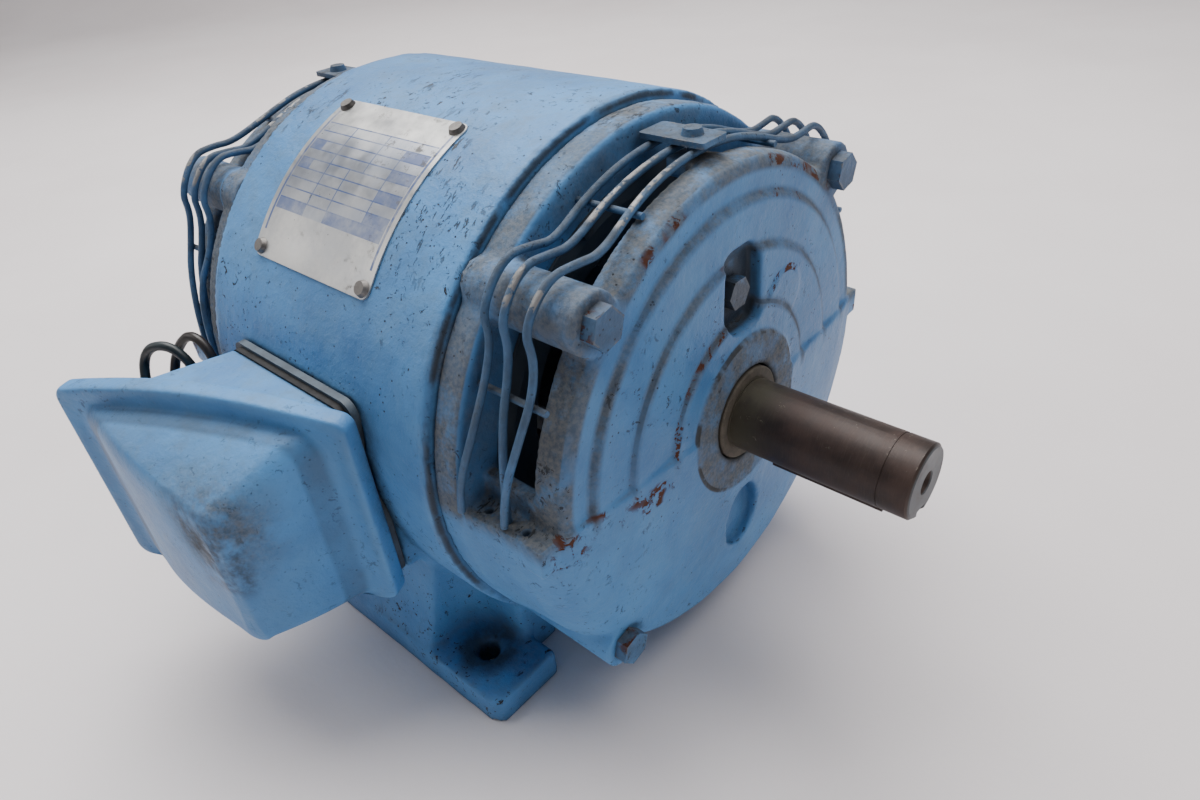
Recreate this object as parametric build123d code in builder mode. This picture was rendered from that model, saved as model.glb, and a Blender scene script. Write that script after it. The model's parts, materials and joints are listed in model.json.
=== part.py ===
from build123d import *
from math import atan2, cos, degrees, hypot, pi, radians, sin, tan
import os

# A foot-mounted, open drip-proof induction motor with a 182T frame, in millimetres.
# The origin is the centre of the foot bolt pattern, on the floor plane. +X runs along the shaft out of
# the drive end, +Z is up, and the conduit box is on the -Y side.

# ---- Driving dimensions ----------------------------------------------------------------------------
SHAFT_Z = 114.3             # shaft height over the feet
FOOT_HOLE_X = 57.15         # half the foot hole spacing along the shaft
FOOT_HOLE_Y = 95.25         # half the foot hole spacing across the shaft
FOOT_HOLE_R = 5.16

FRAME_R = 112.3             # cast frame barrel
FRAME_BORE_R = 103.0
FRAME_BACK, FRAME_FRONT = -72.4, 69.3
FRAME_LENGTH = FRAME_FRONT - FRAME_BACK
FRAME_MIDDLE = (FRAME_FRONT + FRAME_BACK) / 2

FOOT_HALF_LENGTH = 82.0
FOOT_INNER_Y, FOOT_OUTER_Y = 78.3, 113.6
FOOT_HEIGHT = 15.0
LEG_HALF_LENGTH = 66.0

BOLT_CIRCLE_R = 101.7       # bell bolts, one at each 45 degree position
BOLT_ANGLES = (45, 135, 225, 315)
BOLT_R = 3.97
BOLT_HEAD_AF = 12.7
BOLT_HEAD_HEIGHT = 5.2
BOLT_DEPTH = 16.0           # thread engaged in the frame
PILLAR_R = 10.5             # cast pillar round each bell bolt

# Axial sizes of a bell count outwards from the face of the frame that it is bolted to.
SPIGOT_DEPTH = 5.0
FLANGE_R = 108.5
FLANGE_WIDTH = 13.0
WEB_BACK, WEB_R = 8.0, 85.0
PLATE_R = 97.0
PLATE_BACK, PLATE_FRONT = 37.0, 48.9
STEPS = ((82.5, 51.4), (64.5, 53.4), (43.0, 55.0))   # radius and level of each step of the upper half
HUB_R, HUB_FRONT, HUB_BACK = 33.0, 56.7, 30.0
HUB_OUTER_R = 39.0
LEDGE_Z = 4.0               # top of the closed lower half, over the shaft centre

SHAFT_R = 14.2875
SHAFT_SHOULDER_X, SHAFT_END_X = 127.0, 196.85
KEY_SIZE, KEY_LENGTH, KEY_START_X = 6.35, 44.45, 140.5
KEY_LINE_X, KEY_LINE_WIDTH = 185.2, 1.0    # a shallow turned groove just past the key's end
KEY_LINE_DEPTH = 0.3
KEY_ANGLE = -5.0            # the shaft stands turned so far from having its key straight down
KEY_SEAT_R = 10.76          # bottom of the key seat, from the shaft centre
DRIVE_BEARING = dict(bore_r=15.0, outer_r=31.0, width=16.0, ball_r=4.76, balls=9)
REAR_BEARING = dict(bore_r=12.5, outer_r=26.0, width=15.0, ball_r=3.97, balls=9)
DRIVE_BEARING_OUT = 47.6    # outer face of each bearing, counted from the frame's face
REAR_BEARING_OUT = 48.0
SLINGER_R = 18.9
SHAFT_HOLE_R = 19.6
RUNNING_GAP = 0.05

CORE_LENGTH = 90.0
CORE_R, CORE_BORE_R = 92.0, 57.4
SLOTS, SLOT_WIDTH, SLOT_R = 36, 5.4, 76.0
COIL_R, END_TURN_R, END_TURN_LENGTH = 60.5, 82.0, 22.0
ROTOR_R, ROTOR_SEAT_R = 57.0, 20.0
ROTOR_BARS, ROTOR_BAR_R, ROTOR_BAR_CIRCLE_R = 28, 2.6, 52.0
END_RING_LENGTH, BLADE_LENGTH, BLADES = 10.0, 16.0, 8

WIRE_R = 1.4
WIRE_OUT = (18.7, 27.7, 36.7)   # the three guard wires, counted from the frame's face
GUARD_END_Y, GUARD_TOP_R = 101.0, 101.0     # where the wires end on the ledge, and their height on top
GUARD_CLIP = (27.0, 14.0, 2.0)
GUARD_CLIP_OUT = 28.0
CLIP_SCREW_OUT, CLIP_SCREW_R = 32.2, 1.9
CLIP_BOTTOM = GUARD_TOP_R + WIRE_R      # height of the clip's underside over the shaft centre

BAFFLE_CIRCLE_R, BAFFLE_ANGLES = 88.0, (65, 115, 245, 295)      # screws that hold the air baffles
BAFFLE_SCREW_R = 1.6
GREASE_PLUG_PLACE = (0.5, 50)   # across and over the shaft centre

PLATE_WIDTH, PLATE_ARC = 75.0, 38.0     # nameplate: length along the frame and angle round it
PLATE_X, PLATE_ANGLE = -6.5, 127.0
PLATE_THICKNESS = 0.6
DRIVE_SCREW_X, DRIVE_SCREW_ARC = 33.5, 17.0

BOX_X, BOX_Z = -7.0, 103.0      # centre of the conduit box on the frame
BOX_PAD = (82.0, 86.0)
BOX_PAD_Y = -108.5
GASKET_THIN, SPACER, GASKET_THICK = 1.0, 3.0, 2.5
BOX_BACK_Y = BOX_PAD_Y - GASKET_THIN - SPACER - GASKET_THICK
BOX_WALL = 3.0
BOX_TOP, BOX_BOTTOM = 143.3, 64.3
LIP_NEAR, LIP_FAR = (43.0, -118.0), (-74.0, -171.5)   # ends of the diagonal split in plan
LIP_TOP, LIP_BOTTOM = 145.3, 61.3
LEAD_HOLE_R = 14.0


def radial_plane(x, angle, radius):
    """Plane that faces outwards from the shaft axis, its own X axis along the shaft."""
    a = radians(angle)
    return Plane((x, radius * cos(a), SHAFT_Z + radius * sin(a)), x_dir=(1, 0, 0), z_dir=(0, cos(a), sin(a)))


def bolt_places(radius, angles):
    """Points on a circle, as (y, z) about the shaft axis."""
    return [(radius * cos(radians(a)), radius * sin(radians(a))) for a in angles]


def drive_end(out):
    """X of a place that is so far out from the frame's drive-end face."""
    return FRAME_FRONT + out


def rear_end(out):
    """X of a place that is so far out from the frame's rear face."""
    return FRAME_BACK - out


def axial(x):
    """YZ plane at x, centred on the shaft axis."""
    return Plane((x, 0, SHAFT_Z), x_dir=(0, 1, 0), z_dir=(1, 0, 0))


def key_plane(x):
    """YZ plane at x, turned with the shaft so that the key is straight down in it."""
    a = radians(KEY_ANGLE)
    return Plane((x, 0, SHAFT_Z), x_dir=(0, cos(a), sin(a)), z_dir=(1, 0, 0))


def profile_plane():
    """Plane through the shaft axis for turned shapes: local X along the shaft, local Y the radius."""
    return Plane((0, 0, SHAFT_Z), x_dir=(1, 0, 0), z_dir=(0, -1, 0))


SHAFT_AXIS = Axis((0, 0, SHAFT_Z), (1, 0, 0))


def turned(points):
    """Solid turned about the shaft axis from an outline of (x, radius) points."""
    with BuildPart() as solid:
        with BuildSketch(profile_plane()):
            with BuildLine():
                Polyline(*points, close=True)
            make_face()
        revolve(axis=SHAFT_AXIS)
    return solid.part


# ---- Stator frame ----------------------------------------------------------------------------------
def legs():
    """The two legs under the barrel, with a pocket over each foot hole for the bolt and spanner."""
    with BuildPart() as pair:
        with BuildSketch(Plane.YZ.offset(-LEG_HALF_LENGTH)):
            with BuildLine():
                Polyline((62, 0), (FOOT_OUTER_Y, 0), (FOOT_OUTER_Y, FOOT_HEIGHT - 3), (108, 28), (103, 48),
                         (100, 60), (80, 76), (62, 36), close=True)
            make_face()
            mirror(about=Plane.YZ)
        extrude(amount=2 * LEG_HALF_LENGTH)
        for end in (-1, 1):
            for side in (-1, 1):
                with BuildSketch(Plane.XY.offset(FOOT_HEIGHT)) as pocket:
                    with Locations((end * (FOOT_HOLE_X + 16), side * (FOOT_HOLE_Y + 12))):
                        Rectangle(70, 50)
                    corner = Vector(end * (FOOT_HOLE_X - 19), side * (FOOT_HOLE_Y - 13), FOOT_HEIGHT)
                    fillet(pocket.vertices().sort_by_distance(corner)[0], 14)
                extrude(amount=80, mode=Mode.SUBTRACT)
    return pair.part


with BuildPart() as stator_frame:
    with BuildSketch(axial(FRAME_BACK)):
        Circle(FRAME_R)
    extrude(amount=FRAME_LENGTH)
    add(legs())
    for side in (-1, 1):
        with BuildSketch() as foot:
            with Locations((0, side * (FOOT_INNER_Y + FOOT_OUTER_Y) / 2)):
                Rectangle(2 * FOOT_HALF_LENGTH, FOOT_OUTER_Y - FOOT_INNER_Y)
            fillet(foot.vertices().group_by(Axis.Y)[-1 if side > 0 else 0], 7)
        extrude(amount=FOOT_HEIGHT)
    # Pad for the conduit box, milled flat.
    with Locations((BOX_X, BOX_PAD_Y + 10, BOX_Z)):
        Box(BOX_PAD[0], 20, BOX_PAD[1])
    with Locations((BOX_X, BOX_PAD_Y - 5, BOX_Z)):
        Box(BOX_PAD[0], 10, BOX_PAD[1], mode=Mode.SUBTRACT)
    # Bore, ribs that hold the core, and bosses for the bell bolts.
    with BuildSketch(axial(FRAME_BACK)):
        Circle(FRAME_BORE_R)
    extrude(amount=FRAME_LENGTH, mode=Mode.SUBTRACT)
    with BuildSketch(axial(FRAME_MIDDLE - CORE_LENGTH / 2)):
        with PolarLocations((CORE_R + FRAME_BORE_R + 2) / 2, 8, start_angle=22.5):
            Rectangle(FRAME_BORE_R + 2 - CORE_R + 2, 12)
        Circle(CORE_R, mode=Mode.SUBTRACT)
    extrude(amount=CORE_LENGTH)
    for face_x, inward in ((FRAME_BACK, 1), (FRAME_FRONT, -1)):
        with BuildSketch(axial(face_x)):
            with Locations(*bolt_places(BOLT_CIRCLE_R, BOLT_ANGLES)):
                Circle(9.2)
        extrude(amount=inward * 22)
        with BuildSketch(axial(face_x)):
            with Locations(*bolt_places(BOLT_CIRCLE_R, BOLT_ANGLES)):
                Circle(BOLT_R)
        extrude(amount=inward * (BOLT_DEPTH + 2), mode=Mode.SUBTRACT)
    # Foot holes, lead passage, box screw holes and nameplate screw holes.
    with Locations((0, 0, FOOT_HEIGHT)), GridLocations(2 * FOOT_HOLE_X, 2 * FOOT_HOLE_Y, 2, 2):
        CounterBoreHole(FOOT_HOLE_R, 9.5, 0.8, depth=FOOT_HEIGHT)
    with BuildSketch(Plane((BOX_X, BOX_PAD_Y, BOX_Z), x_dir=(1, 0, 0), z_dir=(0, -1, 0))):
        Circle(19)
    extrude(amount=-25, mode=Mode.SUBTRACT)
    with BuildSketch(Plane((BOX_X, BOX_PAD_Y, BOX_Z), x_dir=(1, 0, 0), z_dir=(0, -1, 0))):
        with GridLocations(56, 60, 2, 2):
            Circle(2.5)
    extrude(amount=-9, mode=Mode.SUBTRACT)
    for dx in (-DRIVE_SCREW_X, DRIVE_SCREW_X):
        for da in (-DRIVE_SCREW_ARC, DRIVE_SCREW_ARC):
            with BuildSketch(radial_plane(PLATE_X + dx, PLATE_ANGLE + da, FRAME_R + 1)):
                Circle(1.6)
            extrude(amount=-7, mode=Mode.SUBTRACT)


# ---- End bells -------------------------------------------------------------------------------------
def bell_casting(side, seat_r, seat_out, shaft_hole_r):
    """One end bell. side is 1 at the drive end and -1 at the rear. The bearing seat has radius seat_r and
    ends seat_out from the frame; shaft_hole_r is the hole through the hub, or None for a closed hub."""
    face = FRAME_FRONT if side > 0 else FRAME_BACK

    def at(points):
        return [(face + side * a, r) for a, r in points]

    bowl = [(0, FLANGE_R), (37, 105.8), (42.5, 103), (47, 99.8), (49.6, 95.5), (52.2, 82.5), (54, 64.5),
            (55.5, 43), (HUB_FRONT, HUB_R), (HUB_FRONT, 0), (HUB_BACK, 0), (HUB_BACK, HUB_OUTER_R),
            (42.5, 41), (42.5, 64), (41.5, 84), (32, 97), (-SPIGOT_DEPTH, 97),
            (-SPIGOT_DEPTH, FRAME_BORE_R), (0, FRAME_BORE_R)]
    (r1, a1), (r2, a2), (r3, a3) = STEPS
    front = [(PLATE_BACK, PLATE_R), (PLATE_BACK + 7, PLATE_R), (PLATE_FRONT - 1.2, PLATE_R - 1.2),
             (PLATE_FRONT, PLATE_R - 4), (PLATE_FRONT, r1 + 1.2), (a1 - 0.5, r1), (a1, r1 - 1),
             (a1, r2 + 1.2), (a2 - 0.4, r2), (a2, r2 - 1), (a2, r3 + 1.2), (a3 - 0.4, r3), (a3, r3 - 1),
             (a3, HUB_R), (HUB_FRONT - 0.6, HUB_R), (HUB_FRONT, HUB_R - 0.8), (HUB_FRONT, 0), (HUB_BACK, 0),
             (HUB_BACK, HUB_OUTER_R), (42.5, 41), (42.5, 64), (41.5, 84), (41.5, 90), (PLATE_BACK, 90)]
    ring = [(-SPIGOT_DEPTH, 97), (-SPIGOT_DEPTH, FRAME_BORE_R), (0, FRAME_BORE_R), (0, FLANGE_R - 0.8),
            (0.8, FLANGE_R), (FLANGE_WIDTH - 1.5, FLANGE_R), (FLANGE_WIDTH, FLANGE_R - 1.5),
            (FLANGE_WIDTH, WEB_R), (WEB_BACK, WEB_R), (WEB_BACK, 97)]
    with BuildPart() as bell:
        # The lower half is a closed bowl, and the upper half is a stepped plate in front of a flange.
        add(turned(at(bowl)))
        with Locations((face, 0, SHAFT_Z + LEDGE_Z + 100)):
            Box(300, 400, 200, mode=Mode.SUBTRACT)
        add(turned(at(front)))
        add(turned(at(ring)))
        # Pillars that carry the bell bolts.
        with BuildSketch(axial(face)):
            with Locations(*bolt_places(BOLT_CIRCLE_R, BOLT_ANGLES)):
                Circle(PILLAR_R)
        extrude(amount=side * PLATE_FRONT)
        # Window sills at the ends of the ledge, and the lug for the guard clip at the top.
        for y in (-93.5, 93.5):
            with Locations((face + side * 25, y, SHAFT_Z + 6)):
                Box(34, 5, 16)
        with Locations((face + side * 33, 0, SHAFT_Z + 94.0)):
            Box(16, 13, 7.0)
        # Lugs where the ends of the ledge meet the rim.
        with Locations(*[(face + side * 43.5, y, SHAFT_Z - 2) for y in (-101.5, 101.5)]):
            Box(9, 9, 12)
        # Round boss on the steps, a pocket over the hub for the grease plug and an oval pocket under it.
        with BuildSketch(axial(face + side * 50)):
            with Locations((28, 38)):
                Circle(11)
        extrude(amount=side * 4.2)
        with BuildSketch(axial(face + side * 47.2)):
            with Locations((0.5, 52)):
                RectangleRounded(23, 32, 8)
        extrude(amount=side * 20, mode=Mode.SUBTRACT)
        with BuildSketch(axial(face + side * 48.5)):
            with Locations((1, -56)):
                Ellipse(11.5, 17)
        extrude(amount=side * 20, mode=Mode.SUBTRACT)
        # Bearing seat and the hole through the hub.
        with BuildSketch(axial(face + side * HUB_BACK)):
            Circle(seat_r)
        extrude(amount=side * (seat_out - HUB_BACK), mode=Mode.SUBTRACT)
        if shaft_hole_r:
            with BuildSketch(axial(face + side * HUB_BACK)):
                Circle(shaft_hole_r)
            extrude(amount=side * 40, mode=Mode.SUBTRACT)
        # Spot faces under the bolt heads, bolt holes, and room for the frame's bolt bosses round the spigot.
        with BuildSketch(axial(face + side * PLATE_FRONT)):
            with Locations(*bolt_places(BOLT_CIRCLE_R, BOLT_ANGLES)):
                Circle(9.0)
        extrude(amount=side * 12, mode=Mode.SUBTRACT)
        with BuildSketch(axial(face)):
            with Locations(*bolt_places(BOLT_CIRCLE_R, BOLT_ANGLES)):
                Circle(BOLT_R + 0.35)
        extrude(amount=side * (PLATE_FRONT + 10), mode=Mode.SUBTRACT)
        with BuildSketch(axial(face)):
            with Locations(*bolt_places(BOLT_CIRCLE_R, BOLT_ANGLES)):
                Circle(9.6)
        extrude(amount=-side * (SPIGOT_DEPTH + 1), mode=Mode.SUBTRACT)
        # Holes for the grease plug, the ends of the guard wires, the clip screw and the baffle screws.
        with BuildSketch(axial(face + side * 43)):
            with Locations(GREASE_PLUG_PLACE):
                Circle(4.0)
        extrude(amount=side * 10, mode=Mode.SUBTRACT)
        for out in WIRE_OUT:
            for y in (-GUARD_END_Y, GUARD_END_Y):
                with Locations((face + side * out, y, SHAFT_Z + LEDGE_Z - 2)):
                    Cylinder(WIRE_R + 0.3, 8, mode=Mode.SUBTRACT)
        with Locations((face + side * CLIP_SCREW_OUT, 0, SHAFT_Z + 95)):
            Cylinder(CLIP_SCREW_R, 12, mode=Mode.SUBTRACT)
        with BuildSketch(axial(face + side * (WEB_BACK - 1))):
            with Locations(*bolt_places(BAFFLE_CIRCLE_R, BAFFLE_ANGLES)):
                Circle(BAFFLE_SCREW_R)
        extrude(amount=side * 8, mode=Mode.SUBTRACT)
    return bell.part


with BuildPart() as drive_end_bell:
    add(bell_casting(1, DRIVE_BEARING["outer_r"], DRIVE_BEARING_OUT, SHAFT_HOLE_R))

with BuildPart() as rear_end_bell:
    add(bell_casting(-1, REAR_BEARING["outer_r"], REAR_BEARING_OUT + 2.2, None))


# ---- Bell bolts ------------------------------------------------------------------------------------
def bell_bolts(side):
    """The four hex head bolts of one bell."""
    head = (FRAME_FRONT if side > 0 else FRAME_BACK) + side * PLATE_FRONT
    with BuildPart() as bolts:
        with BuildSketch(axial(head)):
            with Locations(*bolt_places(BOLT_CIRCLE_R, BOLT_ANGLES)):
                RegularPolygon(BOLT_HEAD_AF / 2, 6, major_radius=False, rotation=12)
        extrude(amount=side * BOLT_HEAD_HEIGHT)
        with BuildSketch(axial(head)):
            with Locations(*bolt_places(BOLT_CIRCLE_R, BOLT_ANGLES)):
                Circle(BOLT_R)
        extrude(amount=-side * (PLATE_FRONT + BOLT_DEPTH))
    return bolts.part


with BuildPart() as drive_bell_bolts:
    add(bell_bolts(1))

with BuildPart() as rear_bell_bolts:
    add(bell_bolts(-1))


# ---- Wire guards -----------------------------------------------------------------------------------
def guard_path(x):
    """Centreline of one guard wire: up from the ledge, over the pillars and across the top."""
    half = [(GUARD_END_Y, LEDGE_Z - 3.5), (GUARD_END_Y + 0.6, 26)]
    half += [(r * cos(radians(a)), r * sin(radians(a)))
             for r, a in ((106, 24), (107.5, 33), (114.6, 40), (114.6, 50), (103, 57), (101, 66), (101, 78))]
    points = half + [(0, GUARD_TOP_R)] + [(-y, z) for y, z in reversed(half)]
    return [(x, y, SHAFT_Z + z) for y, z in points]


GUARD_RADII = [14, 30, 8, 7, 7, 8, 40, 60, 60, 60, 40, 8, 7, 7, 8, 30, 14]


def wire_guard(side):
    """Three parallel wires over the windows of one bell, with four cross wires welded inside them."""
    face = FRAME_FRONT if side > 0 else FRAME_BACK
    with BuildPart() as guard:
        for out in WIRE_OUT:
            with BuildLine() as path:
                FilletPolyline(*guard_path(face + side * out), radius=GUARD_RADII)
            with BuildSketch(Plane(path.line @ 0, z_dir=path.line % 0)):
                Circle(WIRE_R)
            sweep(path=path.line)
        for angle in (17, 70, 110, 163):
            radius = (105.2 if angle in (17, 163) else 100.6) - WIRE_R - 0.8
            with BuildSketch(axial(face + side * (WIRE_OUT[0] - 4))):
                with Locations(*bolt_places(radius, (angle,))):
                    Circle(1.2)
            extrude(amount=side * (WIRE_OUT[2] - WIRE_OUT[0] + 6.5))
    return guard.part


with BuildPart() as drive_wire_guard:
    add(wire_guard(1))

with BuildPart() as rear_wire_guard:
    add(wire_guard(-1))

with BuildPart() as guard_clips:
    for clip_x in (drive_end(GUARD_CLIP_OUT), rear_end(GUARD_CLIP_OUT)):
        with BuildSketch(Plane.XY.offset(SHAFT_Z + CLIP_BOTTOM)):
            with Locations((clip_x, 0)):
                RectangleRounded(GUARD_CLIP[0], GUARD_CLIP[1], 1.2)
        extrude(amount=GUARD_CLIP[2])
    for screw_x in (drive_end(CLIP_SCREW_OUT), rear_end(CLIP_SCREW_OUT)):
        with Locations((screw_x, 0, SHAFT_Z + CLIP_BOTTOM)):
            Cylinder(CLIP_SCREW_R, 8, mode=Mode.SUBTRACT)

with BuildPart() as guard_clip_screws:
    for screw_x in (drive_end(CLIP_SCREW_OUT), rear_end(CLIP_SCREW_OUT)):
        with BuildSketch(Plane.XY.offset(SHAFT_Z + CLIP_BOTTOM + GUARD_CLIP[2])):
            with Locations((screw_x, 0)):
                Circle(CLIP_SCREW_R)
        extrude(amount=-14)
        with BuildSketch(Plane.XY.offset(SHAFT_Z + CLIP_BOTTOM + GUARD_CLIP[2])):
            with Locations((screw_x, 0)):
                Circle(4.0)
        extrude(amount=2.4, taper=18)

# ---- Stator core and winding -----------------------------------------------------------------------
CORE_BACK = FRAME_MIDDLE - CORE_LENGTH / 2

with BuildPart() as stator_core:
    with BuildSketch(axial(CORE_BACK)):
        Circle(CORE_R)
        Circle(CORE_BORE_R, mode=Mode.SUBTRACT)
        with PolarLocations((CORE_BORE_R - 1 + SLOT_R) / 2, SLOTS):
            Rectangle(SLOT_R - CORE_BORE_R + 1, SLOT_WIDTH, mode=Mode.SUBTRACT)
    extrude(amount=CORE_LENGTH)

with BuildPart() as stator_winding:
    with BuildSketch(axial(CORE_BACK - 4)):
        with PolarLocations((COIL_R + SLOT_R) / 2, SLOTS):
            Rectangle(SLOT_R - COIL_R, SLOT_WIDTH)
    extrude(amount=CORE_LENGTH + 8)
    for start, way in ((CORE_BACK - 3, -1), (CORE_BACK + CORE_LENGTH + 3, 1)):
        with BuildSketch(profile_plane()):
            with Locations((start + way * END_TURN_LENGTH / 2, (COIL_R + END_TURN_R) / 2 + 0.25)):
                RectangleRounded(END_TURN_LENGTH, END_TURN_R - COIL_R - 0.5, 7)
        revolve(axis=SHAFT_AXIS)

with BuildPart() as slot_wedges:
    with BuildSketch(axial(CORE_BACK - 2)):
        with PolarLocations(COIL_R - 1.0, SLOTS):
            Rectangle(2.0, SLOT_WIDTH)
    extrude(amount=CORE_LENGTH + 4)

# ---- Rotor -----------------------------------------------------------------------------------------
with BuildPart() as rotor_core:
    with BuildSketch(axial(CORE_BACK)):
        Circle(ROTOR_R)
        Circle(ROTOR_SEAT_R, mode=Mode.SUBTRACT)
        with PolarLocations(ROTOR_BAR_CIRCLE_R, ROTOR_BARS):
            Circle(ROTOR_BAR_R, mode=Mode.SUBTRACT)
    extrude(amount=CORE_LENGTH)

with BuildPart() as rotor_cage:
    with BuildSketch(axial(CORE_BACK)):
        with PolarLocations(ROTOR_BAR_CIRCLE_R, ROTOR_BARS):
            Circle(ROTOR_BAR_R)
    extrude(amount=CORE_LENGTH)
    for start, way in ((CORE_BACK, -1), (CORE_BACK + CORE_LENGTH, 1)):
        with BuildSketch(axial(start)):
            Circle(ROTOR_R)
            Circle(44, mode=Mode.SUBTRACT)
        extrude(amount=way * END_RING_LENGTH)
        with BuildSketch(axial(start + way * END_RING_LENGTH)):
            with PolarLocations(50.5, BLADES):
                Rectangle(12, 3)
        extrude(amount=way * BLADE_LENGTH)

DRIVE_SEAT_OUT = drive_end(DRIVE_BEARING_OUT)
DRIVE_SEAT_IN = DRIVE_SEAT_OUT - DRIVE_BEARING["width"]
REAR_SEAT_OUT = rear_end(REAR_BEARING_OUT)
REAR_SEAT_IN = REAR_SEAT_OUT + REAR_BEARING["width"]
SNAP_RING_X = REAR_SEAT_OUT - 0.9
SNAP_RING_DEPTH = 0.9       # of its groove in the shaft
DRIVE_JOURNAL_R, REAR_JOURNAL_R = DRIVE_BEARING["bore_r"], REAR_BEARING["bore_r"]

with BuildPart() as shaft:
    add(turned([(REAR_SEAT_OUT - 1.8, 0), (REAR_SEAT_OUT - 1.8, REAR_JOURNAL_R - 0.6),
                (REAR_SEAT_OUT - 1.2, REAR_JOURNAL_R), (SNAP_RING_X, REAR_JOURNAL_R),
                (SNAP_RING_X, REAR_JOURNAL_R - SNAP_RING_DEPTH),
                (REAR_SEAT_OUT, REAR_JOURNAL_R - SNAP_RING_DEPTH), (REAR_SEAT_OUT, REAR_JOURNAL_R),
                (REAR_SEAT_IN, REAR_JOURNAL_R), (REAR_SEAT_IN, REAR_JOURNAL_R + 3), (-62, REAR_JOURNAL_R + 3),
                (-62, ROTOR_SEAT_R), (60, ROTOR_SEAT_R), (60, DRIVE_JOURNAL_R + 3),
                (DRIVE_SEAT_IN, DRIVE_JOURNAL_R + 3), (DRIVE_SEAT_IN, DRIVE_JOURNAL_R),
                (SHAFT_SHOULDER_X, DRIVE_JOURNAL_R), (SHAFT_SHOULDER_X, SHAFT_R),
                (KEY_LINE_X, SHAFT_R), (KEY_LINE_X, SHAFT_R - KEY_LINE_DEPTH),
                (KEY_LINE_X + KEY_LINE_WIDTH, SHAFT_R - KEY_LINE_DEPTH), (KEY_LINE_X + KEY_LINE_WIDTH, SHAFT_R),
                (SHAFT_END_X - 1.2, SHAFT_R), (SHAFT_END_X, SHAFT_R - 1.2), (SHAFT_END_X, 4.6),
                (SHAFT_END_X - 4.2, 2.2), (SHAFT_END_X - 11, 2.2), (SHAFT_END_X - 12, 0)]))
    # The key seat is at the bottom and runs on to the shaft's end.
    with BuildSketch(key_plane(KEY_START_X)):
        with Locations((0, -KEY_SEAT_R - 5)):
            Rectangle(KEY_SIZE, 10)
    extrude(amount=SHAFT_END_X - KEY_START_X + 1, mode=Mode.SUBTRACT)

with BuildPart() as shaft_key:
    with BuildSketch(key_plane(KEY_START_X)):
        with Locations((0, -KEY_SEAT_R - KEY_SIZE / 2)):
            Rectangle(KEY_SIZE, KEY_SIZE)
    extrude(amount=KEY_LENGTH)
    chamfer(shaft_key.edges().filter_by(Axis.X).sort_by(Axis.Z)[:2], 0.4)

with BuildPart() as shaft_slinger:
    add(turned([(121.5, DRIVE_JOURNAL_R), (121.5, SLINGER_R - 1.5), (123, SLINGER_R), (126.0, SLINGER_R),
                (126.6, SLINGER_R - 0.6), (126.6, DRIVE_JOURNAL_R)]))


# ---- Bearings --------------------------------------------------------------------------------------
def bearing_sizes(b):
    """Pitch radius, inner ring shoulder and outer ring shoulder of a ball bearing."""
    pitch = (b["bore_r"] + b["outer_r"]) / 2
    return pitch, pitch - 0.58 * b["ball_r"], pitch + 0.58 * b["ball_r"]


def race(b, x_in, inner):
    """Inner or outer ring, with the groove that the balls run in."""
    pitch, inner_shoulder, outer_shoulder = bearing_sizes(b)
    low, high = (b["bore_r"], inner_shoulder) if inner else (outer_shoulder, b["outer_r"])
    with BuildPart() as ring:
        add(turned([(x_in, low), (x_in + b["width"], low), (x_in + b["width"], high), (x_in, high)]))
        with BuildSketch(profile_plane()):
            with Locations((x_in + b["width"] / 2, pitch)):
                Circle(b["ball_r"] + RUNNING_GAP)
        revolve(axis=SHAFT_AXIS, mode=Mode.SUBTRACT)
    return ring.part


def ball_angles(b):
    """Places of the balls round the shaft, in degrees."""
    return [360 * i / b["balls"] for i in range(b["balls"])]


def balls(b, x_in):
    """The balls of one bearing."""
    places = bolt_places(bearing_sizes(b)[0], ball_angles(b))
    with BuildPart() as ball_set:
        with Locations(*[(x_in + b["width"] / 2, y, SHAFT_Z + z) for y, z in places]):
            Sphere(b["ball_r"])
    return ball_set.part


def ball_cage(b, x_in):
    """The ribbon that keeps the balls apart."""
    pitch = bearing_sizes(b)[0]
    half = b["ball_r"] + 0.9
    middle = x_in + b["width"] / 2
    with BuildPart() as cage:
        add(turned([(middle - half, pitch - 1), (middle + half, pitch - 1), (middle + half, pitch + 1),
                    (middle - half, pitch + 1)]))
        for angle in ball_angles(b):
            with BuildSketch(radial_plane(middle, angle, pitch - 3)):
                Circle(b["ball_r"] + 0.15)
            extrude(amount=6, mode=Mode.SUBTRACT)
    return cage.part


with BuildPart() as drive_bearing_outer:
    add(race(DRIVE_BEARING, DRIVE_SEAT_IN, inner=False))

with BuildPart() as drive_bearing_inner:
    add(race(DRIVE_BEARING, DRIVE_SEAT_IN, inner=True))

with BuildPart() as drive_bearing_balls:
    add(balls(DRIVE_BEARING, DRIVE_SEAT_IN))

with BuildPart() as drive_bearing_cage:
    add(ball_cage(DRIVE_BEARING, DRIVE_SEAT_IN))

with BuildPart() as rear_bearing_outer:
    add(race(REAR_BEARING, REAR_SEAT_OUT, inner=False))

with BuildPart() as rear_bearing_inner:
    add(race(REAR_BEARING, REAR_SEAT_OUT, inner=True))

with BuildPart() as rear_bearing_balls:
    add(balls(REAR_BEARING, REAR_SEAT_OUT))

with BuildPart() as rear_bearing_cage:
    add(ball_cage(REAR_BEARING, REAR_SEAT_OUT))

with BuildPart() as bearing_preload_washer:
    add(turned([(REAR_SEAT_OUT - 2.2, 21), (REAR_SEAT_OUT, 22.5), (REAR_SEAT_OUT, 25.7),
                (REAR_SEAT_OUT - 2.2, 24.2)]))

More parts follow.
